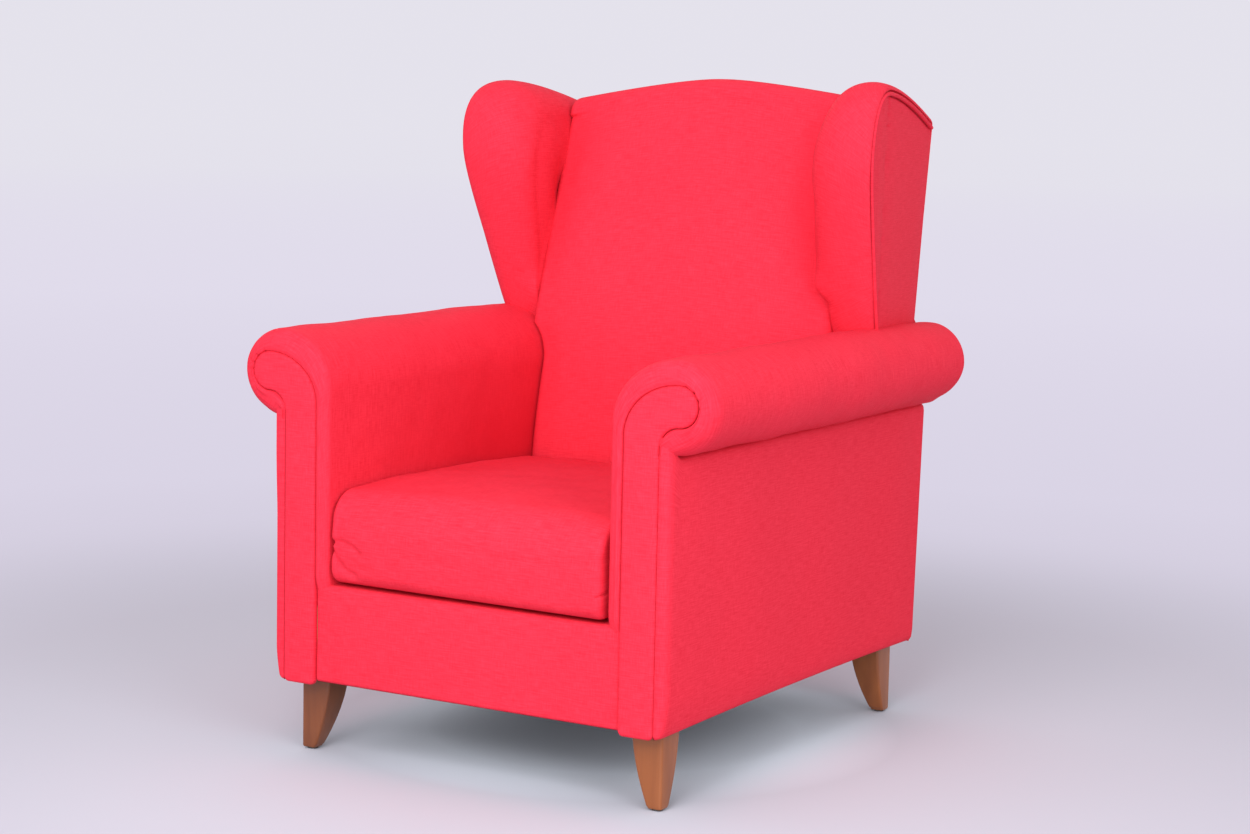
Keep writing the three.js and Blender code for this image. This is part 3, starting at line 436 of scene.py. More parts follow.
# How the noise is drawn out along each set of threads, and its share
SLUBS = (((38.0, 520.0, 1.0), 0.6), ((560.0, 60.0, 1.0), 0.4))
CLOUD_SCALE = 7.0
TONE_SHARES = (0.62, 0.26, 0.12)
SHEEN_TINT = (1.0, 0.62, 0.66, 1.0)
GLOSS_TINT = (1.0, 0.6, 1.0, 1.0)
PORE_SCALE_SHARE = 4.0
PORE_RELIEF = 0.0002
PORE_ROUGHNESS = 0.12
BROAD_SCALE = 9.0
GRAIN_SPAN = (0.32, 0.68)
BROAD_SPAN = (0.3, 0.7)
GRAIN_SHARES = (0.6, 0.4)
BLOTCH_SCALE = 60.0
BLOTCH_ROUGHNESS = 0.2
STEEL_SHADE_SHARE = 0.6
MOULDED_SHADE_SHARE = 0.75


class Finish:
    """A material being built: its nodes are added one after another and joined by their inputs."""

    def __init__(self, name):
        self.material = bpy.data.materials.new(name)
        self.material.use_nodes = True
        self.tree = self.material.node_tree
        self.shader = self.tree.nodes["Principled BSDF"]

    def node(self, kind, settings=None, **inputs):
        """A new node. An input is given by its name, with _ for each space, or by i and its number."""
        made = self.tree.nodes.new(kind)
        for key, value in (settings or {}).items():
            setattr(made, key, value)
        for key, value in inputs.items():
            numbered = key[0] == "i" and key[1:].isdigit()
            self.put(made, int(key[1:]) if numbered else key.replace("_", " "), value)
        return made

    def put(self, node, socket, value):
        if isinstance(value, bpy.types.NodeSocket):
            self.tree.links.new(value, node.inputs[socket])
        else:
            node.inputs[socket].default_value = value

    def place(self):
        return self.node("ShaderNodeTexCoord").outputs["Object"]

    def math(self, operation, first, second=0.0):
        return self.node("ShaderNodeMath", {"operation": operation}, i0=first, i1=second).outputs[0]

    def folded(self, operation, parts):
        total = parts[0]
        for part in parts[1:]:
            total = self.math(operation, total, part)
        return total

    def times(self, *parts):
        return self.folded("MULTIPLY", parts)

    def plus(self, *parts):
        return self.folded("ADD", parts)

    def blend(self, parts, part_shares):
        """Each part times its share, added up."""
        return self.plus(*(self.times(part, share) for part, share in zip(parts, part_shares)))

    def colours(self, factor, first, second):
        return self.node("ShaderNodeMix", {"data_type": "RGBA"}, i0=factor, i6=first, i7=second).outputs[2]

    def shades(self, distance, stops):
        """Colours that follow one another with distance, each given with the distance where it holds."""
        reach = stops[-1][0]
        made = self.node("ShaderNodeValToRGB", Fac=self.math("DIVIDE", distance, reach))
        elements = made.color_ramp.elements
        while len(elements) < len(stops):
            elements.new(1.0)
        for element, (place, shade) in zip(elements, stops):
            element.position = place / reach
            element.color = shade
        return made.outputs["Color"]

    def ramp(self, value, low, high):
        return self.node("ShaderNodeMapRange", Value=value, From_Min=low, From_Max=high).outputs[0]

    def noise(self, place, scale, detail=2.0, roughness=0.5):
        made = self.node("ShaderNodeTexNoise", Vector=place, Scale=scale, Detail=detail, Roughness=roughness)
        return made.outputs[0]

    def stretched(self, place, scale):
        return self.node("ShaderNodeMapping", Vector=place, Scale=scale).outputs[0]

    def bump(self, height, strength, distance):
        return self.node("ShaderNodeBump", Height=height, Strength=strength, Distance=distance).outputs[0]

    def set(self, **inputs):
        for key, value in inputs.items():
            self.put(self.shader, key.replace("_", " "), value)
        return self.material


def painted_shade_factor(made):
    """1 where the cover keeps its full colour, less where shade is painted into it: low in the arms toward
    the rear, where the back meets its wings, and low on the back. It comes from the place in the chair alone."""
    x, y, z = made.node("ShaderNodeSeparateXYZ", Vector=made.place()).outputs
    ways = {"x": x, "y": y, "z": z, "across": made.math("ABSOLUTE", x)}

    def within(spans):
        return made.times(*(made.ramp(ways[way], none, whole) for way, none, whole in spans))

    inside = within(INSIDE_SPANS)
    depth = made.plus(*(made.times(within(spans), inside, deep) for deep, spans in PAINTED_SHADE_PLACES))
    return made.math("SUBTRACT", 1.0, made.math("MINIMUM", depth, 1.0))


def woven(name, colour, dark, pitch, sheen, roughness=0.85, with_painted_shade=False):
    """A plain weave on the piece's own cloth places.

    Cells as wide as a thread show the warp and the weft in turn. Each is a pillow that is longer along
    its thread. Slubs are noise drawn out along the threads.
    """
    made = Finish(name)
    places = made.node("ShaderNodeUVMap", {"uv_map": "cloth"}).outputs[0]
    split = made.node("ShaderNodeSeparateXYZ", Vector=places)
    waves = [made.math("SINE", made.times(split.outputs[axis], np.pi / pitch)) for axis in (0, 1)]
    size_u, size_v = [made.math("ABSOLUTE", wave) for wave in waves]
    warp = made.times(size_u, made.math("POWER", size_v, THREAD_POWER))
    weft = made.times(size_v, made.math("POWER", size_u, THREAD_POWER))
    warp_on_top = made.math("GREATER_THAN", made.times(*waves), 0.0)
    height = made.node("ShaderNodeMix", {"data_type": "FLOAT"}, i0=warp_on_top, i2=weft, i3=warp).outputs[0]
    noises = [made.noise(made.stretched(places, drawn_out), 1.0, *SLUB_NOISE) for drawn_out, _ in SLUBS]
    slubs = made.blend(noises, [share for _, share in SLUBS])
    cloudy = made.noise(made.place(), CLOUD_SCALE)
    tone = made.blend((made.ramp(slubs, *SLUB_SPAN), height, cloudy), TONE_SHARES)
    # Painted shade: the tone is drawn toward the dark colour low in the arms toward the rear, beside the
    # wings and low on the back
    if with_painted_shade:
        tone = made.times(tone, painted_shade_factor(made))
    made.set(Base_Color=made.colours(tone, dark, colour), Roughness=roughness)
    made.set(Sheen_Weight=sheen, Sheen_Roughness=0.45, Sheen_Tint=SHEEN_TINT)
    made.set(Specular_IOR_Level=0.05, Specular_Tint=GLOSS_TINT)
    relief = made.plus(height, made.times(slubs, SLUB_RELIEF_SHARE))
    return made.set(Normal=made.bump(relief, 0.5, THREAD_RELIEF))


def timber_grain(name, light, dark, stretch, roughness, coat):
    """Wood with its grain along one axis: long noise for the grain, fine streaks for the pores."""
    made = Finish(name)
    place = made.place()
    grain = made.noise(made.stretched(place, stretch), 1.0, detail=4.0, roughness=0.6)
    finer = tuple(PORE_SCALE_SHARE * scale for scale in stretch)
    pores = made.noise(made.stretched(place, finer), 1.0, detail=3.0)
    broad = made.noise(place, BROAD_SCALE)
    tone = made.blend((made.ramp(grain, *GRAIN_SPAN), made.ramp(broad, *BROAD_SPAN)), GRAIN_SHARES)
    made.set(Base_Color=made.colours(tone, dark, light), Coat_Weight=coat, Coat_Roughness=0.25)
    made.set(Roughness=made.plus(roughness, made.times(pores, PORE_ROUGHNESS)))
    return made.set(Normal=made.bump(pores, 0.25, PORE_RELIEF))


def darker(colour, share):
    """The same colour with this share of its light."""
    return tuple(share * part for part in colour[:3]) + (1.0,)


def steel_finish(name, colour, roughness):
    """Drawn and plated steel: a fine grain in its gloss, and faint blotches."""
    made = Finish(name)
    blotches = made.noise(made.place(), BLOTCH_SCALE, detail=3.0)
    made.set(Base_Color=made.colours(blotches, darker(colour, STEEL_SHADE_SHARE), colour), Metallic=1.0)
    return made.set(Roughness=made.plus(roughness, made.times(blotches, BLOTCH_ROUGHNESS)))


def moulded(name, colour, roughness, grain, depth):
    """Moulded stuff or felted lining: an even colour with a fine grain in its surface."""
    made = Finish(name)
    speckle = made.noise(made.place(), grain, detail=3.0)
    shade = darker(colour, MOULDED_SHADE_SHARE)
    made.set(Base_Color=made.colours(speckle, shade, colour), Roughness=roughness)
    return made.set(Normal=made.bump(speckle, 0.4, depth))


# The cloth's light and dark thread tones; the cover's painted shade also draws toward the dark one
CORAL = (0.800, 0.0432, 0.0770, 1.0)
CORAL_SHADE = (0.645, 0.0140, 0.0312, 1.0)
ALONG_LEG = (60.0, 60.0, 5.0)
ALONG_RAIL = (6.0, 70.0, 70.0)
# The cover cloth carries painted shade in its colour
cover_cloth = woven("coral_cloth", CORAL, CORAL_SHADE, 0.0011, 0.0, 0.66, with_painted_shade=True)
piping_cloth = woven("coral_piping", CORAL, CORAL_SHADE, 0.0009, 0.0, 0.66)
deck_cloth = woven("black_deck_cloth", (0.022, 0.021, 0.024, 1.0), (0.010, 0.010, 0.011, 1.0), 0.0014, 0.05)
leg_wood = timber_grain("leg_wood", (0.31, 0.090, 0.019, 1.0), (0.20, 0.050, 0.009, 1.0),
                        ALONG_LEG, 0.38, 0.25)
# A darker copy of the leg wood: painted shade for the front leg on the right
leg_wood_painted_shade = timber_grain("leg_wood_painted_shade", (0.200, 0.052, 0.010, 1.0), (0.125, 0.028, 0.005, 1.0),
                             ALONG_LEG, 0.38, 0.25)
frame_wood = timber_grain("frame_wood", (0.62, 0.42, 0.21, 1.0), (0.45, 0.28, 0.13, 1.0),
                          ALONG_RAIL, 0.7, 0.0)
spring_steel = steel_finish("spring_steel", (0.34, 0.35, 0.37, 1.0), 0.3)
glide_nylon = moulded("glide_nylon", (0.045, 0.042, 0.038, 1.0), 0.5, 900.0, 0.0001)
zip_nylon = moulded("zip_nylon", (0.290, 0.0120, 0.0230, 1.0), 0.55, 260.0, 0.0002)
lining_cloth = moulded("lining_cloth", (0.020, 0.020, 0.022, 1.0), 0.95, 700.0, 0.0003)


# Arms

SCROLL_SEAM_TURN = -60
SCROLL_END_TURN = -97
EDGE_STEPS = 9
LIP_STEPS = 8
ARM_ROWS = 70
# The front's rolled edge at places round the section: how far it reaches in from the side, and back
LIP_INSETS = [0.012, 0.014, 0.020, 0.022, 0.022, 0.028, 0.026, 0.003]
LIP_DEPTHS = [0.010, 0.011, 0.017, 0.024, 0.029, 0.040, 0.030, 0.003]
LIP_FULLNESS = 0.0018
LIP_ROOT_YS = (FACING_THICK + 0.002, FACING_THICK - 0.001)
SCROLL_SIDE_STEPS = 40
GROOVE = 0.0032
GROOVE_DEPTH = 2.2 * GROOVE
ARM_FOOT_TUCK = 0.0125
ARM_FOOT_STEP = (0.235, 0.050)
ARM_REAR_EDGES = [0.008, 0.010, 0.016, 0.016, 0.003]
REAR_END_SHARES = (0.25, 0.5, 0.75, 0.9)
REAR_END_FULLNESS = 0.003
# The waver of an arm's top: places along it, and the rise at each
ARM_WAVER = ([0.0, 0.25, 0.56, ARM_REAR_Y], [-0.0015, 0.0, 0.0025, -0.0020])
ARM_WAVER_STEP = (0.55, 0.10)
SCROLL_OUT_STEP = (BODY_HALF_WIDTH, 0.03)
SCROLL_CLEAR_STEP = (BODY_HALF_WIDTH + 0.014, 0.03)
SCROLL_CLIMB = 0.006
SCROLL_CLIMB_STEP = (0.50, 0.36)
SCROLL_LEANS = (0.007, 0.014)
SCROLL_LEAN_STEP = (0.60, 0.26)
ARM_LUMPS = ((0.0006, 0.17, 3), (0.0003, 0.05, 4))
ARM_FRONT_STEP = (ARM_FRONT_Y, 0.06)
ARM_END_STEP = (ARM_REAR_Y - 0.05, 0.05)
# Puckers in the cover round the scroll's front, in x and z: a line, its width and its depth
ARM_CREASES = [
    ([(0.3095, 0.6370), (0.3160, 0.6319)], 0.0022, 0.0014),
    ([(0.3552, 0.6444), (0.3507, 0.6386)], 0.0022, 0.0016),
    ([(0.3660, 0.6200), (0.3640, 0.6130)], 0.0025, 0.0010),
    ([(0.3800, 0.6080), (0.3735, 0.6035)], 0.0020, 0.0016),
    ([(0.3900, 0.5980), (0.3825, 0.5955)], 0.0020, 0.0014),
    ([(0.3960, 0.5860), (0.3860, 0.5860)], 0.0022, 0.0010),
]
FACING_CORNER = 0.009
FACING_FOOT_TILT = 8
FACING_COLUMNS = 27
FACING_EDGE = (0.0055, 0.0012, 0.024)
FACING_LUMPS = ((0.0004, 0.09, 31),)
FACING_LUMPS_STEP = (0.0, 0.012)


def arm_lines():
    """An arm's section, the seam round its facing and the line inside it, point for point.

    Each runs up the inner face, over the arch, round the scroll to its seam, and back inside the chair.
    """
    arch = (SCROLL[0] - ARM_INNER_X, ARM_TOP_Z - ARM_SPRING_Z)
    scroll = (SCROLL_RADIUS, SCROLL_RADIUS)
    head = (FACING_HEAD_RADIUS, FACING_HEAD_RADIUS)
    shoulder = (FACING_HEAD[0], FACING_SHOULDER_Z)
    rise = (FACING_HEAD[0] - FACING_INNER_X, FACING_HEAD[1] + FACING_HEAD_RADIUS - FACING_SHOULDER_Z)
    upright, over, turn, neck, drop, shut, down, base = 40, 44, 84, 12, 5, 6, 16, 5
    last_turn = arc(SCROLL, scroll, SCROLL_SEAM_TURN, SCROLL_END_TURN, neck + drop - 1)
    end = last_turn[-1]
    closing = line((ARM_MIDDLE_X, end[1]), (ARM_MIDDLE_X, ARM_FOOT_Z), down)
    section = joined(
        line((ARM_INNER_X, ARM_FOOT_Z), (ARM_INNER_X, ARM_SPRING_Z), upright),
        arc((SCROLL[0], ARM_SPRING_Z), arch, 180, 90, over),
        arc(SCROLL, scroll, 90, SCROLL_SEAM_TURN, turn),
        last_turn,
        line(end, (ARM_MIDDLE_X, end[1]), shut),
        closing,
        line((ARM_MIDDLE_X, ARM_FOOT_Z), (ARM_INNER_X, ARM_FOOT_Z), base),
    )
    seam = joined(
        line((FACING_INNER_X, ARM_FOOT_Z), (FACING_INNER_X, FACING_SHOULDER_Z), upright),
        arc(shoulder, rise, 180, 90, over),
        arc(FACING_HEAD, head, 90, -90, turn),
        arc(FACING_NECK, head, 90, 180, neck),
        line((FACING_OUTER_X, FACING_NECK[1]), (FACING_OUTER_X, end[1]), drop),
        line((FACING_OUTER_X, end[1]), (ARM_MIDDLE_X, end[1]), shut),
        closing,
        line((ARM_MIDDLE_X, ARM_FOOT_Z), (FACING_INNER_X, ARM_FOOT_Z), base),
    )
    marks = np.cumsum([0, upright - 1, over - 1, turn - 1, neck - 1, drop - 1])
    inside = section.copy()
    inside[: marks[1] + 1, 0] = ARM_MIDDLE_X
    inside[marks[1] : marks[2] + 1] = line((ARM_MIDDLE_X, ARM_SPRING_Z), SCROLL, over)
    inside[marks[2] : marks[5] + 1] = SCROLL
    return section, seam, inside, marks


def arm_rings():
    """Rings round an arm: from the facing's seam out to its front edge, back along it, and in to the middle
    of its rear end. With them, how many make the front, and the last step of the section that shows.

    At the foot of the front the cover runs down into the border.
    """
    section, seam, inside, marks = arm_lines()
    inner, spring, top, low, _, end = marks
    step = np.arange(len(section))
    stations = [inner, spring, (spring + top) // 2, top, top + SCROLL_SIDE_STEPS, low, end, end + 1]
    deep = np.interp(step, stations, LIP_DEPTHS)
    depth = np.linalg.norm(seam - section, axis=-1)
    inward = (seam - section) / np.maximum(depth, TINY)[:, None]
    inset = np.minimum(np.interp(step, stations, LIP_INSETS), np.maximum(depth - GROOVE, 0.0))
    foot = ARM_FOOT_TUCK * faded(section[:, 1], *ARM_FOOT_STEP) * (step <= spring)
    foot = np.where(step > end, LIP_ROOT_YS[0] - ARM_FRONT_Y, foot)
    turns = quarter(EDGE_STEPS)

    def ring(way, offset, y):
        flat = section + way * np.broadcast_to(offset, step.shape)[:, None]
        return spots(flat[:, 0], y, flat[:, 1])

    rings = [ring(inward, depth, y) for y in LIP_ROOT_YS]
    for turn in turns[::-1]:
        y = ARM_FRONT_Y + GROOVE_DEPTH * (1.0 - np.cos(turn)) + foot
        rings.append(ring(inward, depth - GROOVE * (1.0 - np.sin(turn)), y))
    for share in shares(LIP_STEPS)[-2:0:-1]:
        offset = inset + (depth - GROOVE - inset) * share
        rings.append(ring(inward, offset, ARM_FRONT_Y - LIP_FULLNESS * np.sin(np.pi * share) + foot))
    for turn in turns[::-1]:
        y = ARM_FRONT_Y + deep * (1.0 - np.sin(turn)) + foot
        rings.append(ring(inward, inset * (1.0 - np.cos(turn)), y))
    front_rows = len(rings)
    reach = np.linalg.norm(inside - section, axis=-1)
    toward = (inside - section) / np.maximum(reach, TINY)[:, None]
    rear_edge = np.minimum(np.interp(step, [inner, spring, top, end, end + 1], ARM_REAR_EDGES), reach)
    front, rear = ARM_FRONT_Y + deep + foot, ARM_REAR_Y - rear_edge
    for share in shares(ARM_ROWS)[1:-1]:
        rings.append(ring(inward, 0.0, front + (rear - front) * share))
    for turn in turns:
        y = ARM_REAR_Y - rear_edge * (1.0 - np.sin(turn))
        rings.append(ring(toward, rear_edge * (1.0 - np.cos(turn)), y))
    for share in REAR_END_SHARES:
        offset = rear_edge + (reach - rear_edge) * share
        rings.append(ring(toward, offset, ARM_REAR_Y + REAR_END_FULLNESS * np.sin(np.pi * share / 2.0)))
    return np.stack(rings), front_rows, end


def settle_arm(points):
    """Moves an arm's points as use has: its top wavers along it, and toward the rear the scroll leans back
    above its centre and forward below it, where it also climbs."""
    x, y, z = np.moveaxis(points, -1, 0)
    z += np.interp(y, *ARM_WAVER) * grown(z, *ARM_WAVER_STEP)
    clear = grown(x, *SCROLL_CLEAR_STEP)
    below = np.clip((SCROLL[1] - z) / SCROLL_RADIUS, 0.0, 1.0)
    z += SCROLL_CLIMB * below * clear * grown(y, *SCROLL_CLIMB_STEP)
    lean = np.clip((z - SCROLL[1]) / SCROLL_RADIUS, -1.0, 1.0)
    lean = lean * np.where(lean > 0.0, grown(x, *SCROLL_OUT_STEP), clear)
    y += np.where(lean > 0.0, *SCROLL_LEANS) * lean * grown(y, *SCROLL_LEAN_STEP)


def arm_pad(_hand):
    """An arm's padding: its rings, settled, with soft lumps along it and puckers round its front. Inside the
    body its rear end stays in front of the rear panel."""
    points, front_rows, end = arm_rings()
    settle_arm(points)
    shown = np.arange(points.shape[1]) <= end
    along = grown(points[..., 1], *ARM_FRONT_STEP) * faded(points[..., 1], *ARM_END_STEP)
    raised = lumpy(points, ARM_LUMPS) * along * shown
    raised[:front_rows] -= creased(points[:front_rows, :, ::2], ARM_CREASES)
    points = points + outward(points) * raised[..., None]
    x, y, z = np.moveaxis(points, -1, 0)
    y[...] = np.where(x < BODY_HALF_WIDTH, np.minimum(y, rear_face(z) - PANEL - SEAM), y)
    points = points[:, ::-1]
    return [np.concatenate([points, points[:, :1]], axis=1)]


both_sides("arm", "inside_arm", arm_pad, slot="fabric", material=cover_cloth, fill=0.9)


def facing_plate(_hand):
    """The scroll-shaped front of an arm, a soft plate: straight lines across it from its inner edge to its
    outer one, which meet at the tip of the scroll. Its face falls off in a rounded edge all round."""
    head, neck = FACING_HEAD_RADIUS - SEAM, FACING_HEAD_RADIUS + SEAM
    inner_x, outer_x = FACING_INNER_X + SEAM, FACING_OUTER_X - SEAM
    foot_z = FACING_FOOT_Z + FACING_CORNER
    corner = (FACING_CORNER, FACING_CORNER)
    rise = (FACING_HEAD[0] - inner_x, FACING_HEAD[1] + head - FACING_SHOULDER_Z)
    turn, upright, over, tip = 8, 60, 34, 24
    inner = joined(
        arc((inner_x + FACING_CORNER, foot_z), corner, 270 - FACING_FOOT_TILT, 180, turn),
        line((inner_x, foot_z), (inner_x, FACING_SHOULDER_Z), upright),
        arc((FACING_HEAD[0], FACING_SHOULDER_Z), rise, 180, 90, over),
        arc(FACING_HEAD, (head, head), 90, 0, tip),
    )
    outer = joined(
        arc((outer_x - FACING_CORNER, foot_z), corner, 270 + FACING_FOOT_TILT, 360, turn),
        line((outer_x, foot_z), (outer_x, FACING_NECK[1]), upright),
        arc(FACING_NECK, (neck, neck), 180, 90, over),
        arc(FACING_HEAD, (head, head), -90, 0, tip),
    )
    plan = inner[:, None] + (outer - inner)[:, None] * close_set(FACING_COLUMNS)[None, :, None]
    x, z = np.moveaxis(plan, -1, 0)
    distance = distance_to_line(plan, rim(plan))
    fall = soft_edge(distance, *FACING_EDGE)
    y = fall + lumpy(spots(x, fall, z), FACING_LUMPS) * grown(distance, *FACING_LUMPS_STEP)
    return skin(spots(x, y, z), spots(x, FACING_THICK - SEAM, z), plan)


both_sides("arm_front", "arm_facing", facing_plate, slot="fabric", material=cover_cloth, fill=1.0)


# Outside panels

PUFF = 0.005
PUFF_FOOT_STEP = (SKIRT_Z - 0.010, 0.035)
PUFF_TOP_STEP = (PANEL_TOP_Z - 0.012, 0.015)
SIDE_FRONT_Y = ARM_FRONT_Y + 0.0005
SIDE_SEAM_Y = SIDE_FRONT_Y + 0.002
SIDE_SEAM_RIDGE = 0.0012
SIDE_SEAM_SHARE = 0.25
SIDE_CORNER = 0.024
SIDE_CORNER_POWER = 2.0 / 3.2
SIDE_FOOT = 0.008
SIDE_TUCK = 0.006
SIDE_TUCK_SHARE = 0.7
SIDE_END = 0.004
SIDE_CLIMB = 0.030
SIDE_CLIMB_STEP = (SIDE_FRONT_Y, 0.034)
SIDE_CLIMB_Z = 0.40
SIDE_FULLNESS = 0.0045
SIDE_MORE_RIGHT = 0.0025
SIDE_MORE_STEP = (0.36, 0.10)
SIDE_FULL_REAR_STEP = (0.08, 0.45)
SIDE_FULL_SEAM_STEP = (FACING_OUTER_X + SEAM, 0.010)
SIDE_FULL_FOOT_STEP = (SKIRT_Z, 0.05)
SIDE_FULL_TOP_STEP = (PANEL_TOP_Z - 0.010, 0.02)
SIDE_LUMPS = ((0.0012, 0.30, 5),)
SIDE_LUMPS_STEP = (0.03, 0.08)
SIDE_LUMPS_REAR_STEP = (REAR_FOOT_Y - 0.08, 0.08)
SIDE_LUMPS_TOP_STEP = (PANEL_TOP_Z - 0.05, 0.05)
REAR_PROUD = 0.001
REAR_NECK_X = SCROLL[0] + 0.008
REAR_NECK_ZS = (PANEL_TOP_Z + 0.018, 0.582)
REAR_EDGE = (0.005, 0.002, 0.09)
REAR_LUMPS = ((0.0012, 0.28, 8),)
REAR_LUMPS_STEP = (0.0, 0.05)


def puffed(z):
    """How far the body's covers stand out at a height: full, but for the foot and the seam at the top."""
    return PUFF * np.sqrt(grown(z, *PUFF_FOOT_STEP) * faded(z, *PUFF_TOP_STEP))


def side_strip():
    """The side cover before it is filled: x, y and z of rows one above another, each from the facing's
    seam round a squarish corner, back along the side and in at the rear. Its foot and top are rounded."""
    turn = quarter(7)
    z = np.concatenate([
        SKIRT_Z + SIDE_FOOT * (1.0 - np.cos(turn)),
        line(SKIRT_Z + SIDE_FOOT, PANEL_TOP_Z - SIDE_TUCK, 66)[1:],
        PANEL_TOP_Z - SIDE_TUCK * (1.0 - np.sin(turn))[1:],
    ])[:, None]
    tuck = rounding(z - SKIRT_Z, SIDE_FOOT) + rounding(PANEL_TOP_Z - z, SIDE_TUCK)
    seam_x = FACING_OUTER_X + SEAM
    side_x = BODY_HALF_WIDTH + puffed(z) - tuck
    start = SIDE_FRONT_Y + SIDE_TUCK_SHARE * tuck
    rear_y = rear_face(z) - SIDE_END
    bend = quarter(22)
    turn_x = np.sin(bend) ** SIDE_CORNER_POWER
    turn_y = SIDE_CORNER * (1.0 - np.cos(bend) ** SIDE_CORNER_POWER)
    back = shares(92)[1:]
    closing = quarter(5)[1:]
    seam_y = line(FACING_THICK, SIDE_SEAM_Y, 4)
    rows = np.ones_like(z)
    x = np.hstack([
        rows * np.full(len(seam_y), seam_x),
        seam_x + (side_x - seam_x) * turn_x,
        side_x * np.ones(len(back)),
        side_x - SIDE_END * (1.0 - np.cos(closing)),
    ])
    y = np.hstack([
        rows * seam_y,
        start + SIDE_SEAM_RIDGE * faded(turn_x, 0.0, SIDE_SEAM_SHARE) + turn_y,
        start + SIDE_CORNER + (rear_y - start - SIDE_CORNER) * back,
        rear_y + SIDE_END * np.sin(closing),
    ])
    return x, y, z


def outside_arm(hand):
    """The arm's side cover: its strip, fuller toward the front, more so on the right, climbing into the
    scroll's seam at the front and hanging a little at its lower corners."""
    x, y, z = side_strip()
    fullness = SIDE_FULLNESS + (SIDE_MORE_RIGHT * grown(z, *SIDE_MORE_STEP) if hand < 0 else 0.0)
    low = grown(z, *SIDE_FULL_FOOT_STEP)
    x = x + (fullness * faded(y, *SIDE_FULL_REAR_STEP) * grown(x, *SIDE_FULL_SEAM_STEP)
             * low * faded(z, *SIDE_FULL_TOP_STEP))
    climb = SIDE_CLIMB * faded(y, *SIDE_CLIMB_STEP) * grown(z, SIDE_CLIMB_Z, PANEL_TOP_Z - SIDE_CLIMB_Z)
    out = np.clip(np.abs(2.0 * y / REAR_FOOT_Y - 1.0), 0.0, 1.0)
    outer = spots(x, y, z + climb - skirt_sag(out, z))
    side = grown(y, *SIDE_LUMPS_STEP) * faded(y, *SIDE_LUMPS_REAR_STEP) * faded(z, *SIDE_LUMPS_TOP_STEP)
    outer[..., 0] += lumpy(outer, SIDE_LUMPS) * low * side
    inner = outer.copy()
    inner[..., 0] = np.minimum(outer[..., 0], BODY_HALF_WIDTH - PANEL)
    inner[..., 1] = np.maximum(outer[..., 1], FACING_THICK)
    return skin(outer, inner)


both_sides("arm_side_panel", "outside_arm", outside_arm, slot="fabric", material=cover_cloth, fill=1.0)


def outside_back():
    """The rear panel: rows from side to side, as wide as the chair at each height and closing in to the
    crest's curve at the top."""
    top, low_top = (crest(x) - CREST_PADDING for x in (0.0, -BACK_HALF_WIDTH))
    z = joined(
        SKIRT_Z + (PANEL_TOP_Z - SKIRT_Z) * close_set(30),
        line(PANEL_TOP_Z, ARM_TOP_Z, 16),
        line(ARM_TOP_Z, low_top, 24),
        low_top + (top - low_top) * (1.0 - (1.0 - shares(30)) ** 2),
    )
    reach = np.linspace(0.0, BACK_HALF_WIDTH, 400)
    hump = np.interp(z, (crest(-reach) - CREST_PADDING)[::-1], reach[::-1])
    arm_x = wing_outer(rear_face(ARM_TOP_Z), ARM_TOP_Z)
    neck = np.interp(z, [PANEL_TOP_Z, *REAR_NECK_ZS, ARM_TOP_Z],
                     [BODY_HALF_WIDTH, REAR_NECK_X, REAR_NECK_X, arm_x])
    half = np.where(z < ARM_TOP_Z, neck, wing_outer(rear_face(z), z))
    half = np.where(z > low_top, hump, half)
    plan = spots(half[:, None] * side_to_side(61), z[:, None])
    distance = distance_to_line(plan, rim(plan))
    x, z = np.moveaxis(plan, -1, 0)
    sunk = soft_edge(distance, *REAR_EDGE)
    sunk = sunk + lumpy(spots(x, sunk, z), REAR_LUMPS) * grown(distance, *REAR_LUMPS_STEP)
    z -= skirt_sag(np.abs(x) / BODY_HALF_WIDTH, z)
    face_y = rear_face(z) + REAR_PROUD
    return skin(spots(x, face_y - sunk, z), spots(x, face_y - PANEL, z), plan)


back_panel = make_piece("rear_panel", outside_back(), "chair", "fabric", cover_cloth, fill=1.0)
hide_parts("outside_back")


# Inside back

BACK_COLUMNS = 91
BEHIND_CUSHION_SHARE = 0.25
BACK_CROWN_POWER = 0.8
BACK_EDGE = (0.013, 0.006, 0.06)
# Pressed back beside the wing whose padding has settled inward: its depth, and its steps inward and up
PRESSED = 0.012
PRESSED_STEP = (0.0, 0.11)
PRESSED_TOP_STEP = (0.88, 0.09)
BACK_LUMPS = ((0.0022, 0.26, 11),)
BACK_LUMPS_STEP = (0.0, 0.1)
BACK_LUMPS_POWER = 6
CREST_EDGE_SHARE = 0.3
CREST_SLOPE_SHARE = 0.17
CREST_REAR_RADIUS = 0.018
CREST_REAR_GAP = 0.004
CREST_LAP = 0.012
CREST_UNDER = 0.03
BACK_DEPTH = 0.05


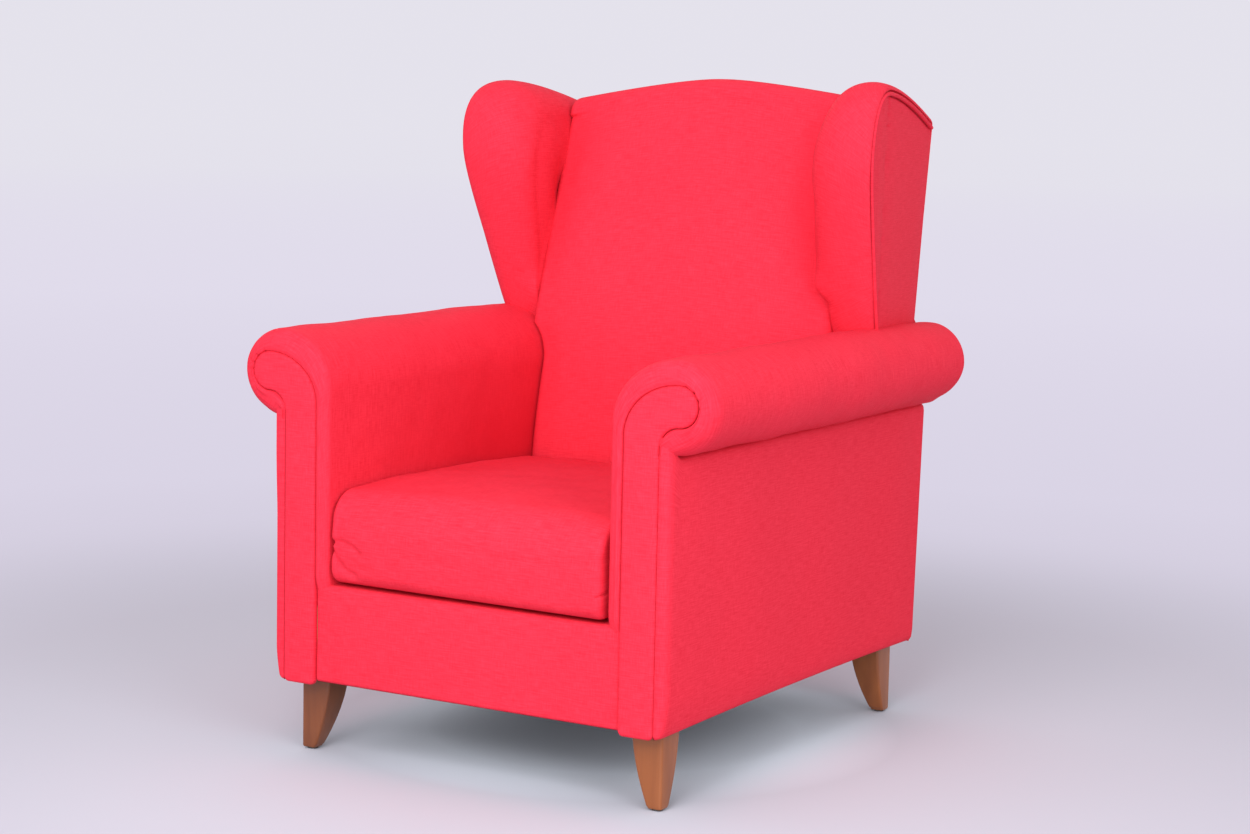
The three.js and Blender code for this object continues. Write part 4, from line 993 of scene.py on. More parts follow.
def back_face(share, roll_z):
    """The back's front at shares across it, and how far it is from its edges. It is the raked line less a
    crown, and its sides fall away in a rounded edge where the arms and wings press against them."""
    behind_cushion = line(0.0, BEHIND_CUSHION_SHARE, 24)
    rise = joined(behind_cushion, line(BEHIND_CUSHION_SHARE, 1.0, 80))[:, None]
    z = DECK_Z + (roll_z - DECK_Z) * rise
    height_in_arm = np.clip((z - ARM_SPRING_Z) / (ARM_TOP_Z - ARM_SPRING_Z), 0.0, 1.0)
    beside_arm = SCROLL[0] - (SCROLL[0] - ARM_INNER_X) * np.sqrt(1.0 - height_in_arm**2)
    half = np.minimum(BACK_HALF_WIDTH, beside_arm) - SEAM
    height = np.clip((z - CUSHION_EDGE_Z) / (roll_z - CUSHION_EDGE_Z), 0.0, 1.0)
    gap = half * (1.0 - np.abs(share))
    y = back_front(z) - BACK_CROWN * (1.0 - share**2) * np.sin(np.pi * height) ** BACK_CROWN_POWER
    y = y + soft_edge(gap, *BACK_EDGE)
    y = y + PRESSED * (share > 0.0) * faded(gap, *PRESSED_STEP) * faded(z, *PRESSED_TOP_STEP)
    lumps = lumpy(spots(half * share, y, z), BACK_LUMPS) * grown(height, *BACK_LUMPS_STEP)
    return spots(half * share, y + lumps * (1.0 - share**BACK_LUMPS_POWER), z), gap


def inside_back():
    """The padded back: rows across it at each step up the front, over the crest's roll and down behind."""
    share = side_to_side(BACK_COLUMNS)
    across = BACK_HALF_WIDTH * share
    roll_z = crest(across) - CREST_RADIUS
    front, gap = back_face(share, roll_z)
    x = front[-1, :, 0]
    turn = quarter(14)[1:, None]
    side_fall = rounding(gap[-1], BACK_EDGE[0])
    roll_y = back_front(roll_z) + CREST_RADIUS
    roll = spots(x, roll_y - (CREST_RADIUS - side_fall) * np.cos(turn),
                 roll_z + (CREST_RADIUS - CREST_EDGE_SHARE * side_fall) * np.sin(turn))
    behind = []
    rear_y = rear_face(crest(across)) - CREST_REAR_GAP - CREST_REAR_RADIUS
    for step in shares(8)[1:]:
        run = (rear_y - roll_y) * step
        behind.append(spots(x, roll_y + run, roll[-1, :, 2] - CREST_SLOPE_SHARE * run))
    start = behind[-1]
    for angle in quarter(7)[1:]:
        behind.append(start + CREST_REAR_RADIUS * np.array([0.0, np.sin(angle), np.cos(angle) - 1.0]))
    foot_z = crest(across) - CREST_PADDING - CREST_LAP
    rear = behind[-1][:, 1]
    behind.append(spots(x, rear, foot_z))
    behind.append(spots(x, rear - CREST_UNDER, foot_z))
    outer = np.concatenate([front, roll, np.stack(behind)])
    rows = len(front)
    inner = outer.copy()
    inner[:rows, :, 1] = outer[:rows, :, 1] + BACK_DEPTH
    inner[rows:, :, 1] = outer[-1, :, 1]
    inner[rows:, :, 2] = np.minimum(outer[rows:, :, 2], foot_z)
    return skin(outer, inner)


back_pad = make_piece("inside_back_pad", inside_back(), "chair", "fabric", cover_cloth, fill=0.9)
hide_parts("inside_back")


# Wings

WING_HUB = (0.765, 0.760)
WING_START = (WING_FOOT[0] + 0.025, WING_FOOT[1] - 0.05)
WING_CORNER = 0.007
WING_CORNER_SHARE = 0.35
WING_TAIL_PAST = 0.001
WING_TAIL_LIFT_SHARE = 0.8
WING_REAR_GAP = 0.004
WING_NOSE_POWER = 2.0 / 2.4
# Handles of the front edge's curve, forward and up, as shares of the way from the foot to the nose
WING_EDGE_SHARES = ((0.29, 0.225), (0.62, 0.545), (1.0, 0.836))
WING_TOP_SHARES = (0.37, 0.07)
# At places round the outline: how deep the roll reaches in on each face, how far it stands out, and the
# share of the wing's thickness where it is furthest out
WING_INNER_DEPTHS = [0.012, 0.015, 0.050, 0.078, 0.082, 0.074, 0.036, 0.012, 0.012]
WING_OUTER_DEPTHS = [0.0150, 0.0150, 0.0150, 0.0145, 0.0140, 0.0130, 0.010, 0.006, 0.006]
WING_PROUD = [-0.001, -0.001, 0.000, 0.0015, 0.002, 0.0015, 0.001, 0.0, 0.0]
WING_PEAK_SHARES = [0.35, 0.38, 0.42, 0.42, 0.36, 0.30, 0.25, 0.5, 0.5]
WING_LEAST_DEPTH = 0.010
WING_CLOSER_LEFT = 0.016
WING_CLOSER_RIGHT = -0.006
WING_BOARD = PANEL + 0.0008
WING_BOARD_DEPTH = 0.030
WELT_GROOVE = WELT_INSET + 0.0005
WING_SWELL = 0.009
WING_SWELL_RUN = 0.16
WING_INTO_ARM = 0.005
# How one wing's padding has settled inward
SETTLED = 0.018
SETTLED_SHARES = (0.40, 0.60)
SETTLED_FOOT_STEP = (WING_FOOT[1], 0.07)
SETTLED_TOP_STEP = (0.745, 0.13)
SETTLED_RUN = 0.020
WING_PANEL_Z = ARM_TOP_Z - 0.008
WING_PANEL_PROUD = 0.0012
WING_PANEL_COLUMNS = 41
WING_PANEL_EDGE = (0.004, 0.0015, 0.05)
WELT_STEPS = 220
WELT_SIDES = 14
WELT_LOW_Z = ARM_TOP_Z - 0.010
WELT_PROUD = 0.0014


def wing_line(lift):
    """A wing's outline in y and z: up the front edge, round the nose, back along the top, down the rear and
    forward inside the arm. The nose is a superellipse."""
    foot, nose, top = np.array(WING_FOOT), np.array(WING_NOSE), np.array(WING_TOP) + (0.0, lift)
    tail = np.array([rear_face(WING_TAIL_Z) + WING_TAIL_PAST, WING_TAIL_Z + WING_TAIL_LIFT_SHARE * lift])
    reach, rise = foot[0] - nose[0], nose[1] - foot[1]
    rear_foot = np.array([rear_face(WING_START[1]) - WING_REAR_GAP, WING_START[1]])
    angle = quarter(50)
    brow = spots(
        top[0] - (top[0] - nose[0]) * np.abs(np.cos(angle)) ** WING_NOSE_POWER,
        nose[1] + (top[1] - nose[1]) * np.sin(angle) ** WING_NOSE_POWER,
    )
    before, after = tail + WING_CORNER * np.array([-1.0, WING_CORNER_SHARE]), tail - (0.0, WING_CORNER)
    handles = [foot + (-forward * reach, up * rise) for forward, up in WING_EDGE_SHARES]
    parts = [
        line(WING_START, foot, 10),
        curve([foot, *handles, nose], 60),
        brow,
        curve([top, top + WING_TOP_SHARES * (tail - top), before], 50),
        curve([before, tail, after], 10),
        line(after, rear_foot, 40),
        line(rear_foot, WING_START, 20),
    ]
    return joined(*parts), np.cumsum([0] + [len(part) - 1 for part in parts])


def wing_lift(hand):
    """How much higher this wing stands than the other: the left one does."""
    return WING_LIFT if hand > 0 else 0.0


def settled_inward(y, z):
    """How much further in one wing's padding has settled, above the arm and in front of the back."""
    low, rest = SETTLED_SHARES
    above = (low + rest * grown(z, *SETTLED_FOOT_STEP)) * faded(z, *SETTLED_TOP_STEP)
    return SETTLED * above * grown(back_front(z) - y, 0.0, SETTLED_RUN)


def wing_pad(hand):
    """A padded wing: a roll round its edge, fuller inside than outside, and a convex inner face.

    Each point of the outline has a line that starts on the outer face, goes through the welt's groove and
    round the edge, and crosses the inner face to a hub deep in the chair.
    """
    outline, (start, foot, nose, top, tail, corner, _, end) = wing_line(wing_lift(hand))
    hub = np.array(WING_HUB)
    reach = np.linalg.norm(hub - outline, axis=-1)
    toward = (hub - outline) / reach[:, None]
    step = np.arange(len(outline))
    stations = [start, foot, (foot + nose) // 2, nose, (nose + top) // 2, top, tail, corner, end]
    inner_depth, outer_depth, proud, peak = (
        np.interp(step, stations, table)
        for table in (WING_INNER_DEPTHS, WING_OUTER_DEPTHS, WING_PROUD, WING_PEAK_SHARES)
    )
    ahead = back_front(outline[:, 1]) - outline[:, 0] - (WING_CLOSER_LEFT if hand > 0 else WING_CLOSER_RIGHT)
    inner_depth = np.where(step < nose, np.clip(ahead, WING_LEAST_DEPTH, inner_depth), inner_depth)

    def ring(depth, sunk, share):
        """Points this deep in from the outline: this share of the way to the inner face, and sunk."""
        y, z = (outline + toward * np.broadcast_to(depth, step.shape)[:, None]).T
        outer = wing_outer(y, z) + proud
        inner = wing_inner(y, z) - (settled_inward(y, z) if hand > 0 else 0.0)
        return spots(outer - sunk - (outer - inner) * share, y, z)

    sunk = WING_BOARD + proud
    rings = [ring(depth, sunk, 0.0) for depth in (reach, reach / 2.0, WING_BOARD_DEPTH, WELT_GROOVE)]
    for turn in quarter(8)[1:]:
        rings.append(ring(WELT_GROOVE - (WELT_GROOVE - outer_depth) * np.sin(turn), sunk * np.cos(turn), 0.0))
    for turn in quarter(14, -90.0)[1:]:
        rings.append(ring(outer_depth * (1.0 - np.cos(turn)), 0.0, peak * (1.0 + np.sin(turn))))
    for turn in quarter(20)[1:]:
        rings.append(ring(inner_depth * (1.0 - np.cos(turn)), 0.0, peak + (1.0 - peak) * np.sin(turn)))
    for share in shares(26)[1:]:
        swell = WING_SWELL * np.sin(np.pi * np.clip(share * reach / WING_SWELL_RUN, 0.0, 1.0))
        rings.append(ring(inner_depth + (reach - inner_depth) * share, swell, 1.0))
    points = np.stack(rings)
    sink = np.where(points[..., 1] < ARM_REAR_Y, arm_top(points[..., 0]) - WING_INTO_ARM, 0.0)
    points[..., 2] = np.maximum(points[..., 2], sink)
    run = np.cumsum(np.linalg.norm(np.diff(points[::-1], axis=0), axis=-1), axis=0)
    run = np.concatenate([np.zeros((1, len(outline))), run])[::-1]
    return [(points, hub - toward * run[..., None])]


both_sides("wing", "wing_pad", wing_pad, slot="fabric", material=cover_cloth, fill=0.95)


def wing_edge_inset(inset, hand):
    """The wing's front and top edge moved inward, from the arm to the rear."""
    outline, marks = wing_line(wing_lift(hand))
    edge = outline[: marks[4] + 1]
    return edge + inset * turned_right(np.gradient(edge, axis=0))


def outside_wing(hand):
    """The wing's flat outer cover: rows from its front edge to the rear, closing in to the curve's top."""
    edge = wing_edge_inset(WELT_INSET + WELT_RADIUS + SEAM, hand)
    peak = int(np.argmax(edge[:, 1]))
    front, top = edge[: peak + 1], edge[peak:]
    shoulder = top[-1, 1]
    z = joined(
        line(WING_PANEL_Z, shoulder, 50),
        shoulder + (front[-1, 1] - shoulder) * (1.0 - (1.0 - shares(40)) ** 2),
    )
    start = np.interp(z, front[:, 1], front[:, 0])
    end = np.where(z > shoulder, np.interp(z, top[::-1, 1], top[::-1, 0]), rear_face(z) - WING_TAIL_PAST)
    plan = spots(start[:, None] + (end - start)[:, None] * close_set(WING_PANEL_COLUMNS), z[:, None])
    shown_rim = np.concatenate([plan[::-1, 0], plan[-1, 1:], plan[-2::-1, -1]])
    sunk = soft_edge(distance_to_line(plan, shown_rim), *WING_PANEL_EDGE)
    y, z = np.moveaxis(plan, -1, 0)
    face_x = wing_outer(y, z) + WING_PANEL_PROUD
    return skin(spots(face_x - sunk, y, z), spots(face_x - PANEL, y, z), plan)


both_sides("wing_side_panel", "outside_wing", outside_wing, slot="fabric", material=cover_cloth, fill=1.0)


def tube(path, radius, sides):
    """A round cord along a path, its ends closed: circles square to the path."""
    along = np.gradient(path, axis=0)
    along /= np.linalg.norm(along, axis=-1, keepdims=True)
    side = np.cross(along, (1.0, 0.0, 0.0))
    side /= np.linalg.norm(side, axis=-1, keepdims=True)
    up = np.cross(side, along)
    angle = np.radians(np.linspace(0.0, 360.0, sides + 1))[:, None]
    rings = path[:, None] + radius * (side[:, None] * np.cos(angle) + up[:, None] * np.sin(angle))
    ends = [np.broadcast_to(path[cut, None], rings[:1].shape) for cut in (np.s_[:1], np.s_[-1:])]
    return np.concatenate([ends[0], rings, ends[1]])


def wing_welt(hand):
    """The piping that stands between the outer cover and the wing's roll."""
    edge = resampled(wing_edge_inset(WELT_INSET, hand), WELT_STEPS)
    y, z = edge[edge[:, 1] > WELT_LOW_Z].T
    return [tube(spots(wing_outer(y, z) + WELT_PROUD, y, z), WELT_RADIUS, WELT_SIDES)]


both_sides("wing_welt", "wing_welt", wing_welt, slot="piping", material=piping_cloth)


# Seat

BORDER_FACE_Y = 0.008
BORDER_FOOT = 0.006
BORDER_TOP = 0.009
BORDER_DROP = 0.0042
BORDER_COLUMNS = 151
BORDER_END_X = FACING_INNER_X - 0.0002
BORDER_EDGE_RADIUS = 0.0045
BORDER_FACE_REACH = 0.012
BORDER_FULLNESS = 0.003
BORDER_FULL_REACH = 0.02
BORDER_FULL_POWERS = (0.5, 10)
BORDER_LUMPS = ((0.0008, 0.14, 21),)
BORDER_UNDER = 0.004
BAND_HALF_WIDTH = ARM_INNER_X - 0.001
BAND_WIDTH_YS = [0.014, 0.020]
BAND_RISE_YS = (0.040, 0.056)
BAND_REAR_Y = 0.118
BAND_TOP_Z = DECK_Z - 0.0005
BAND_TAIL = (BAND_REAR_Y + 0.002, DECK_Z - 0.004)
# Creases of the border by the arms, in x and z: a line, its width and its depth
BORDER_CREASES = [
    ([(-0.240, 0.2620), (-0.222, 0.2700)], 0.0040, 0.0012),
    ([(-0.262, 0.2500), (-0.244, 0.2600)], 0.0050, 0.0008),
    ([(0.246, 0.2660), (0.240, 0.2460)], 0.0050, 0.0010),
    ([(0.257, 0.2620), (0.254, 0.2320)], 0.0045, 0.0009),
]
DECK_POINTS = 71
DECK_HALF_WIDTH = ARM_INNER_X - 0.0012
DECK_FRONT_Y = BAND_REAR_Y + 0.0025
DECK_REAR_Y = SEAT_BACK_Y - 0.0025
DECK_COVER_Z = DECK_Z - 0.0028
DECK_UNDER_Z = DECK_Z - 0.012
DECK_EDGE_RADIUS = 0.006
DECK_SWELL = 0.0012
DECK_SWELLS = 5
DECK_SWELL_STEP = (0.0, 0.03)


def front_border():
    """The cover below the cushion: rolled under at the foot, slightly full, rolled over the rail, and carried
    back as the front band of the deck, where it rises to the cushion."""
    low = DECK_Z - BORDER_DROP
    face, foot, top = BORDER_FACE_Y, BORDER_FOOT, BORDER_TOP
    rise_start, rise_end = BAND_RISE_YS
    profile = joined(
        line((FACING_THICK, SKIRT_Z), (face + foot, SKIRT_Z), 3),
        arc((face + foot, SKIRT_Z + foot), (foot, foot), 270, 180, 7),
        line((face, SKIRT_Z + foot), (face, low - top), 40),
        arc((face + top, low - top), (top, top), 180, 90, 9),
        line((face + top, low), (rise_start, low), 6),
        line((rise_start, low), (rise_end, BAND_TOP_Z), 5),
        line((rise_end, BAND_TOP_Z), (BAND_REAR_Y, BAND_TOP_Z), 12),
        line((BAND_REAR_Y, BAND_TOP_Z), BAND_TAIL, 3),
    )
    share = side_to_side(BORDER_COLUMNS)
    half = np.interp(profile[:, 0], BAND_WIDTH_YS, [BORDER_END_X, BAND_HALF_WIDTH])
    half = np.where(profile[:, 1] < low - top, BORDER_END_X, half)
    x = half[:, None] * share
    y, z = profile[:, :1] * np.ones_like(share), profile[:, 1:] * np.ones_like(share)
    height_power, side_power = BORDER_FULL_POWERS
    full = np.sin(np.pi * np.clip((z - SKIRT_Z) / (DECK_Z - SKIRT_Z), 0.0, 1.0)) ** height_power
    y -= BORDER_FULLNESS * full * (1.0 - (x / BORDER_END_X) ** side_power) * (y < BORDER_FULL_REACH)
    outer = spots(x, y, z)
    sunk = rounding(BORDER_END_X - np.abs(x), BORDER_EDGE_RADIUS) - lumpy(outer, BORDER_LUMPS) * full
    ahead = profile[:, :1] < BORDER_FACE_REACH
    outer[..., 1] += sunk * ahead
    outer[..., 1] += creased(outer[..., ::2], BORDER_CREASES) * ahead
    inner = outer.copy()
    inner[..., 1] = np.maximum(outer[..., 1], FACING_THICK)
    inner[..., 2] = np.minimum(outer[..., 2], low - BORDER_UNDER)
    return skin(outer, inner)


border = make_piece("front_border_cover", front_border(), "chair", "fabric", cover_cloth, fill=1.0)
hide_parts("front_border")


def seat_deck():
    """The padded deck behind the front band: flat under the cushion, rounded down at its edges, with the
    springs showing through as soft swells."""
    across, back = side_to_side(DECK_POINTS), close_set(DECK_POINTS)[:, None]
    plan = spots(DECK_HALF_WIDTH * across, DECK_FRONT_Y + (DECK_REAR_Y - DECK_FRONT_Y) * back)
    gap = distance_to_line(plan, rim(plan))
    swells = DECK_SWELL * (1.0 - np.cos(np.pi * DECK_SWELLS * (across + 1.0))) * np.sin(np.pi * back)
    z = DECK_COVER_Z - rounding(gap, DECK_EDGE_RADIUS) + swells * grown(gap, *DECK_SWELL_STEP)
    x, y = np.moveaxis(plan, -1, 0)
    return skin(spots(x, y, z), spots(x, y, DECK_UNDER_Z))


deck = make_piece("seat_deck_cover", seat_deck(), "chair", "backing", deck_cloth, fill=1.0)
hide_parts("seat_deck")


# Cushion

CUSHION_BASE_Z = DECK_Z + 0.0008
CUSHION_FOOT = 0.022
CUSHION_ROLL = 0.052
CUSHION_BACK = 0.014
CUSHION_END = 0.010
CUSHION_END_FULLNESS = 0.002
CUSHION_END_GAP = 0.0005
CUSHION_COLUMNS = 121
CUSHION_CROWN = 0.022
CUSHION_CROWN_SHARE = 0.62
CUSHION_CROWN_POWERS = (3.0, 0.85, 0.75)
CUSHION_WAIST_SHARE = 0.012
CUSHION_SHIFT = 0.0030
CUSHION_SHIFT_STEP = (0.05, 0.25)
CUSHION_BOW = 0.004
CUSHION_SKEW_SHARE = 0.026
CUSHION_FRONT_STEP = (0.0, 0.05)
CUSHION_LUMPS = ((0.0016, 0.20, 41), (0.0006, 0.07, 42))
CUSHION_LUMPS_FOOT_STEP = (DECK_Z + 0.004, 0.02)
CUSHION_LUMPS_END_STEP = (0.93, 0.07)
CUSHION_LUMPS_REAR_STEP = (CUSHION_REAR_Y - 0.020, 0.015)
CUSHION_FOLDS_STEP = (0.015, 0.02)
# Folds of the cushion's front by its ends, in x and z: a line, its width and its depth
CUSHION_FOLDS = [
    ([(-0.246, 0.3345), (-0.222, 0.3372), (-0.200, 0.3315), (-0.184, 0.3220)], 0.0042, 0.0048),
    ([(-0.243, 0.3270), (-0.228, 0.3060), (-0.212, 0.2930), (-0.196, 0.2880)], 0.0050, 0.0045),
    ([(-0.230, 0.3620), (-0.200, 0.3700), (-0.160, 0.3600)], 0.0120, 0.0028),
    ([(-0.226, 0.3890), (-0.190, 0.3990), (-0.150, 0.3960), (-0.100, 0.3820)], 0.0034, 0.0018),
    ([(-0.238, 0.4130), (-0.232, 0.3960)], 0.0034, 0.0038),
    ([(-0.060, 0.3830), (0.010, 0.3740), (0.070, 0.3700)], 0.0040, 0.0012),
    ([(-0.020, 0.3560), (0.060, 0.3460), (0.150, 0.3470)], 0.0052, 0.0012),
    ([(-0.120, 0.3350), (-0.060, 0.3240), (0.000, 0.3260)], 0.0070, 0.0010),
    ([(-0.150, 0.3760), (-0.110, 0.3700), (-0.070, 0.3720)], 0.0036, 0.0012),
    ([(0.244, 0.3120), (0.234, 0.3070)], 0.0022, 0.0030),
    ([(0.243, 0.3600), (0.215, 0.3540), (0.190, 0.3560)], 0.0060, 0.0014),
    ([(0.244, 0.4200), (0.232, 0.4080), (0.226, 0.3960)], 0.0036, 0.0026),
    ([(-0.200, 0.3020), (-0.160, 0.2980)], 0.0060, 0.0014),
]
ZIP_Z = (DECK_Z + CUSHION_EDGE_Z) / 2.0
ZIP_HALF_LENGTH = 0.189
ZIP_HALF_WIDTH = 0.0076
ZIP_TEETH_HALF_WIDTH = 0.0022
ZIP_TOOTH_PITCH = 0.004
ZIP_TOOTH_SHARES = (0.55, 0.45)
ZIP_TEETH = 0.0008
ZIP_FACE_Y = CUSHION_REAR_Y - 0.0009
ZIP_BACK_Y = CUSHION_REAR_Y - 0.004
ZIP_SUNK = 0.0016
ZIP_RECESS_END_STEP = (ZIP_HALF_LENGTH + 0.003, 0.005)
ZIP_RECESS_EDGE_STEP = (ZIP_HALF_WIDTH, 0.004)
ZIP_RECESS_REAR_STEP = (CUSHION_REAR_Y - 0.003, 0.002)


def cushion_profile():
    """The loose cushion cut from front to rear, in y and z: a flat base, a high front with the fullest roll
    above it, a flat top and an upright rear."""
    base, edge, rear = CUSHION_BASE_Z, CUSHION_EDGE_Z, CUSHION_REAR_Y
    foot, roll, back = CUSHION_FOOT, CUSHION_ROLL, CUSHION_BACK
    return joined(
        line((rear - back, base), (foot, base), 44),
        arc((foot, base + foot), (foot, foot), 270, 180, 12),
        line((0.0, base + foot), (0.0, edge - roll), 30),
        arc((roll, edge - roll), (roll, roll), 180, 90, 24),
        line((roll, edge), (rear - back, edge), 70),
        arc((rear - back, edge - back), (back, back), 90, 0, 10),
        line((rear, edge - back), (rear, base + back), 48),
        arc((rear - back, base + back), (back, back), 0, -90, 10),
    )


def cushion_box(profile):
    """The profile carried from side to side, drawn in at both ends in a rounded edge and closed there by a
    flat side: x, y and z."""
    along = np.gradient(profile, axis=0)
    along[0] = along[-1] = (-1.0, 0.0)
    inset = profile + turned_right(along) * CUSHION_END
    middle = np.array([CUSHION_REAR_Y, DECK_Z + CUSHION_EDGE_Z]) / 2.0
    half = CUSHION_HALF_WIDTH
    end = []
    for share in shares(12)[:0:-1]:
        x = half + CUSHION_END_FULLNESS * np.sin(np.pi * share / 2.0) - CUSHION_END_GAP
        end.append((x, inset + (middle - inset) * share))
    for turn in quarter(9)[::-1]:
        x = half - CUSHION_END * (1.0 - np.sin(turn))
        end.append((x, profile + (inset - profile) * (1.0 - np.cos(turn))))
    between = line(CUSHION_END - half, half - CUSHION_END, CUSHION_COLUMNS)[1:-1]
    stack = [(-x, flat) for x, flat in end] + [(x, profile) for x in between] + end[::-1]
    x = np.array([place for place, _ in stack])[:, None] * np.ones(len(profile))
    y, z = np.moveaxis(np.stack([flat for _, flat in stack]), -1, 0)
    return x, y, z


def zip_recess(points):
    """Share of the zip's recess at points of the cushion: all of it over the zip, none a little way off."""
    x, y, z = np.moveaxis(points, -1, 0)
    beside = faded(np.abs(x), *ZIP_RECESS_END_STEP)
    around = faded(np.abs(z - ZIP_Z), *ZIP_RECESS_EDGE_STEP)
    return beside * around * grown(y, *ZIP_RECESS_REAR_STEP)


def cushion_form():
    """The loose cushion: its box with a crowned top, sides that pull in between the corners, a bowed front
    that lies askew, soft lumps, folds by its ends and a recess for the zip."""
    profile = cushion_profile()
    x, y, z = cushion_box(profile)
    high = np.clip((z - DECK_Z) / (CUSHION_EDGE_Z - DECK_Z), 0.0, 1.0)
    back = np.clip(y / CUSHION_REAR_Y, 0.0, 1.0)
    across = np.clip(np.abs(x) / CUSHION_HALF_WIDTH, 0.0, 1.0)
    side_power, front_power, hump_power = CUSHION_CROWN_POWERS
    hump = np.sin(np.pi * back**front_power) ** hump_power
    z = z + CUSHION_CROWN * (1.0 - CUSHION_CROWN_SHARE * across**side_power) * hump * eased(high) ** 2
    x = x * (1.0 - CUSHION_WAIST_SHARE * np.sin(np.pi * back) * across**2)
    x = x - CUSHION_SHIFT * eased(x / CUSHION_HALF_WIDTH) * faded(y, *CUSHION_SHIFT_STEP)
    bow = CUSHION_BOW * np.sin(np.pi * high) * (1.0 - across**4)
    y = y - faded(y, *CUSHION_FRONT_STEP) * (bow + CUSHION_SKEW_SHARE * x)
    points = spots(x, y, z)
    shown = grown(z, *CUSHION_LUMPS_FOOT_STEP) * faded(across, *CUSHION_LUMPS_END_STEP)
    raised = lumpy(points, CUSHION_LUMPS) * shown * faded(y, *CUSHION_LUMPS_REAR_STEP)
    points[..., 1] -= ZIP_SUNK * zip_recess(points)
    raised = raised - creased(points[..., ::2], CUSHION_FOLDS) * faded(y, *CUSHION_FOLDS_STEP)
    points = points - outward(points) * raised[..., None]
    return [(points, spots(x, lengths(profile)))]


cushion = make_piece("cushion_cover_loose", cushion_form(), "cushion", "fabric", cover_cloth, fill=0.85)
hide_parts("cushion_cover", "cushion_core")


def zip_form():
    """The zip: a flat tape with a rounded ridge of small teeth along its middle, closed by a flat back."""
    x = line(-ZIP_HALF_LENGTH, ZIP_HALF_LENGTH, 379)[:, None]
    across = line(-ZIP_HALF_WIDTH, ZIP_HALF_WIDTH, 31)
    ridge = faded(np.abs(across), 0.0, ZIP_TEETH_HALF_WIDTH)
    level, sway = ZIP_TOOTH_SHARES
    face = ZIP_FACE_Y + ZIP_TEETH * (level + sway * np.sin(2.0 * np.pi * x / ZIP_TOOTH_PITCH)) * ridge
    y = np.hstack([face, np.full((len(x), 2), ZIP_BACK_Y), face[:, :1]])
    return spots(x, y, ZIP_Z + np.concatenate([across, across[[-1, 0, 0]]]))


zip_band = zip_form()
zip_piece = make_piece("cushion_zip_band", [zip_band], "cushion", "piping", zip_nylon,
                       fills=[zip_band[0, :-1], zip_band[-1, :-1]])
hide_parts("cushion_zip")


# Legs

LEG_STEPS = 40
LEG_ROUNDING = 0.004
LEG_TAPER_POWER = 1.8
LEG_SOLE_SHARE = 0.93
LEG_SOLE_ROUND = 0.0025


def leg_form(hand):
    """A leg from its outer corner: square with rounded edges, its two inner faces curving in to the foot."""
    share = shares(LEG_STEPS)
    heights = LEG_TOP_Z + (LEG_FOOT_Z - LEG_TOP_Z) * share
    widths = LEG_TOP - LEG_TAPER * share**LEG_TAPER_POWER
    rings = []
    for height, width in zip(heights, widths):
        near, far = LEG_ROUNDING, width - LEG_ROUNDING
        corners = ((near, near, 180), (far, near, 270), (far, far, 0), (near, far, 90))
        x, y = np.concatenate([arc((x, y), (near, near), start, start + 90, 6) for x, y, start in corners]).T
        rings.append(spots(-x, hand * y, height))
    points = np.stack(rings)
    points = np.concatenate([points, points[:, :1]], axis=1)
    foot = points[-1]
    middle = foot.mean(axis=0)
    sole = middle + (foot - middle) * LEG_SOLE_SHARE
    points[-1, :, 2] = LEG_FOOT_Z + LEG_SOLE_ROUND
    return np.concatenate([points, sole[None]])


for row, y, hand in (("front", LEG_FRONT_Y, 1.0), ("rear", LEG_REAR_Y, -1.0)):
    form = leg_form(hand) + (LEG_X, y, 0.0)
    for side, mirror in (("left", False), ("right", True)):
        # Painted shade: the front leg on the right takes the darker copy of the wood, for the shade it stands
        # in
        leg_finish = leg_wood_painted_shade if (row, side) == ("front", "right") else leg_wood
        leg = make_piece(f"leg_{row}_{side}_turned", [form], "chair", "leg_wood", leg_finish,
                         fills=[form[0, :-1], form[-1, :-1]], mirror=mirror)
        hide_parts(f"leg_{row}_{side}")


# What the solids keep

NODE_FINISHES = (
    (frame_wood, ("front_post", "back_post", "side_rail", "arm_tack_rail", "arm_board", "wing_frame",
                  "corner_block", "front_rail", "back_rail", "lower_back_rail", "crest_rail")),
    (spring_steel, ("leg_bolt", "seat_spring")),
    (glide_nylon, ("glide",)),
    (lining_cloth, ("back_web", "dust_cover")),
)
for name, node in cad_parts.items():
    for finish, starts in NODE_FINISHES:
        if name.startswith(starts):
            node.data.materials.clear()
            node.data.materials.append(finish)


# Floor, light and camera

# Colours of the floor and of the backdrop, each with the distance from the chair's middle where it holds.
# The floor's carry painted light and shade: darker at the middle under the chair, much lighter just round
# it, where light is painted into the shadow, and darker further out, where the lamps' falloff is painted.
# The backdrop's glowing shades, darker nearer the chair, paint that falloff too.
FLOOR_TONES_AND_PAINTED_LIGHT = [
    (0.10, (0.650, 0.685, 0.780, 1.0)),
    (0.30, (0.810, 0.855, 0.965, 1.0)),
    (0.46, (0.540, 0.545, 0.626, 1.0)),
    (1.20, (0.500, 0.480, 0.556, 1.0)),
]
BACKDROP_SHADES = [
    (1.0, (0.620, 0.580, 0.690, 1.0)),
    (2.8, (0.700, 0.658, 0.785, 1.0)),
    (9.0, (0.750, 0.712, 0.832, 1.0)),
    (30.0, (0.775, 0.755, 0.835, 1.0)),
    (60.0, (0.780, 0.762, 0.838, 1.0)),
]
FLOOR_REACH = 60.0
BACKDROP_SPAN = (0.8, 2.2)
SURROUND_STRENGTH = 0.833
WHITE = (1.0, 1.0, 1.0, 1.0)
UPWARD = (0.0, 0.0, 1.0)
LAMP_AIM = (0.0, 0.0, 0.5)
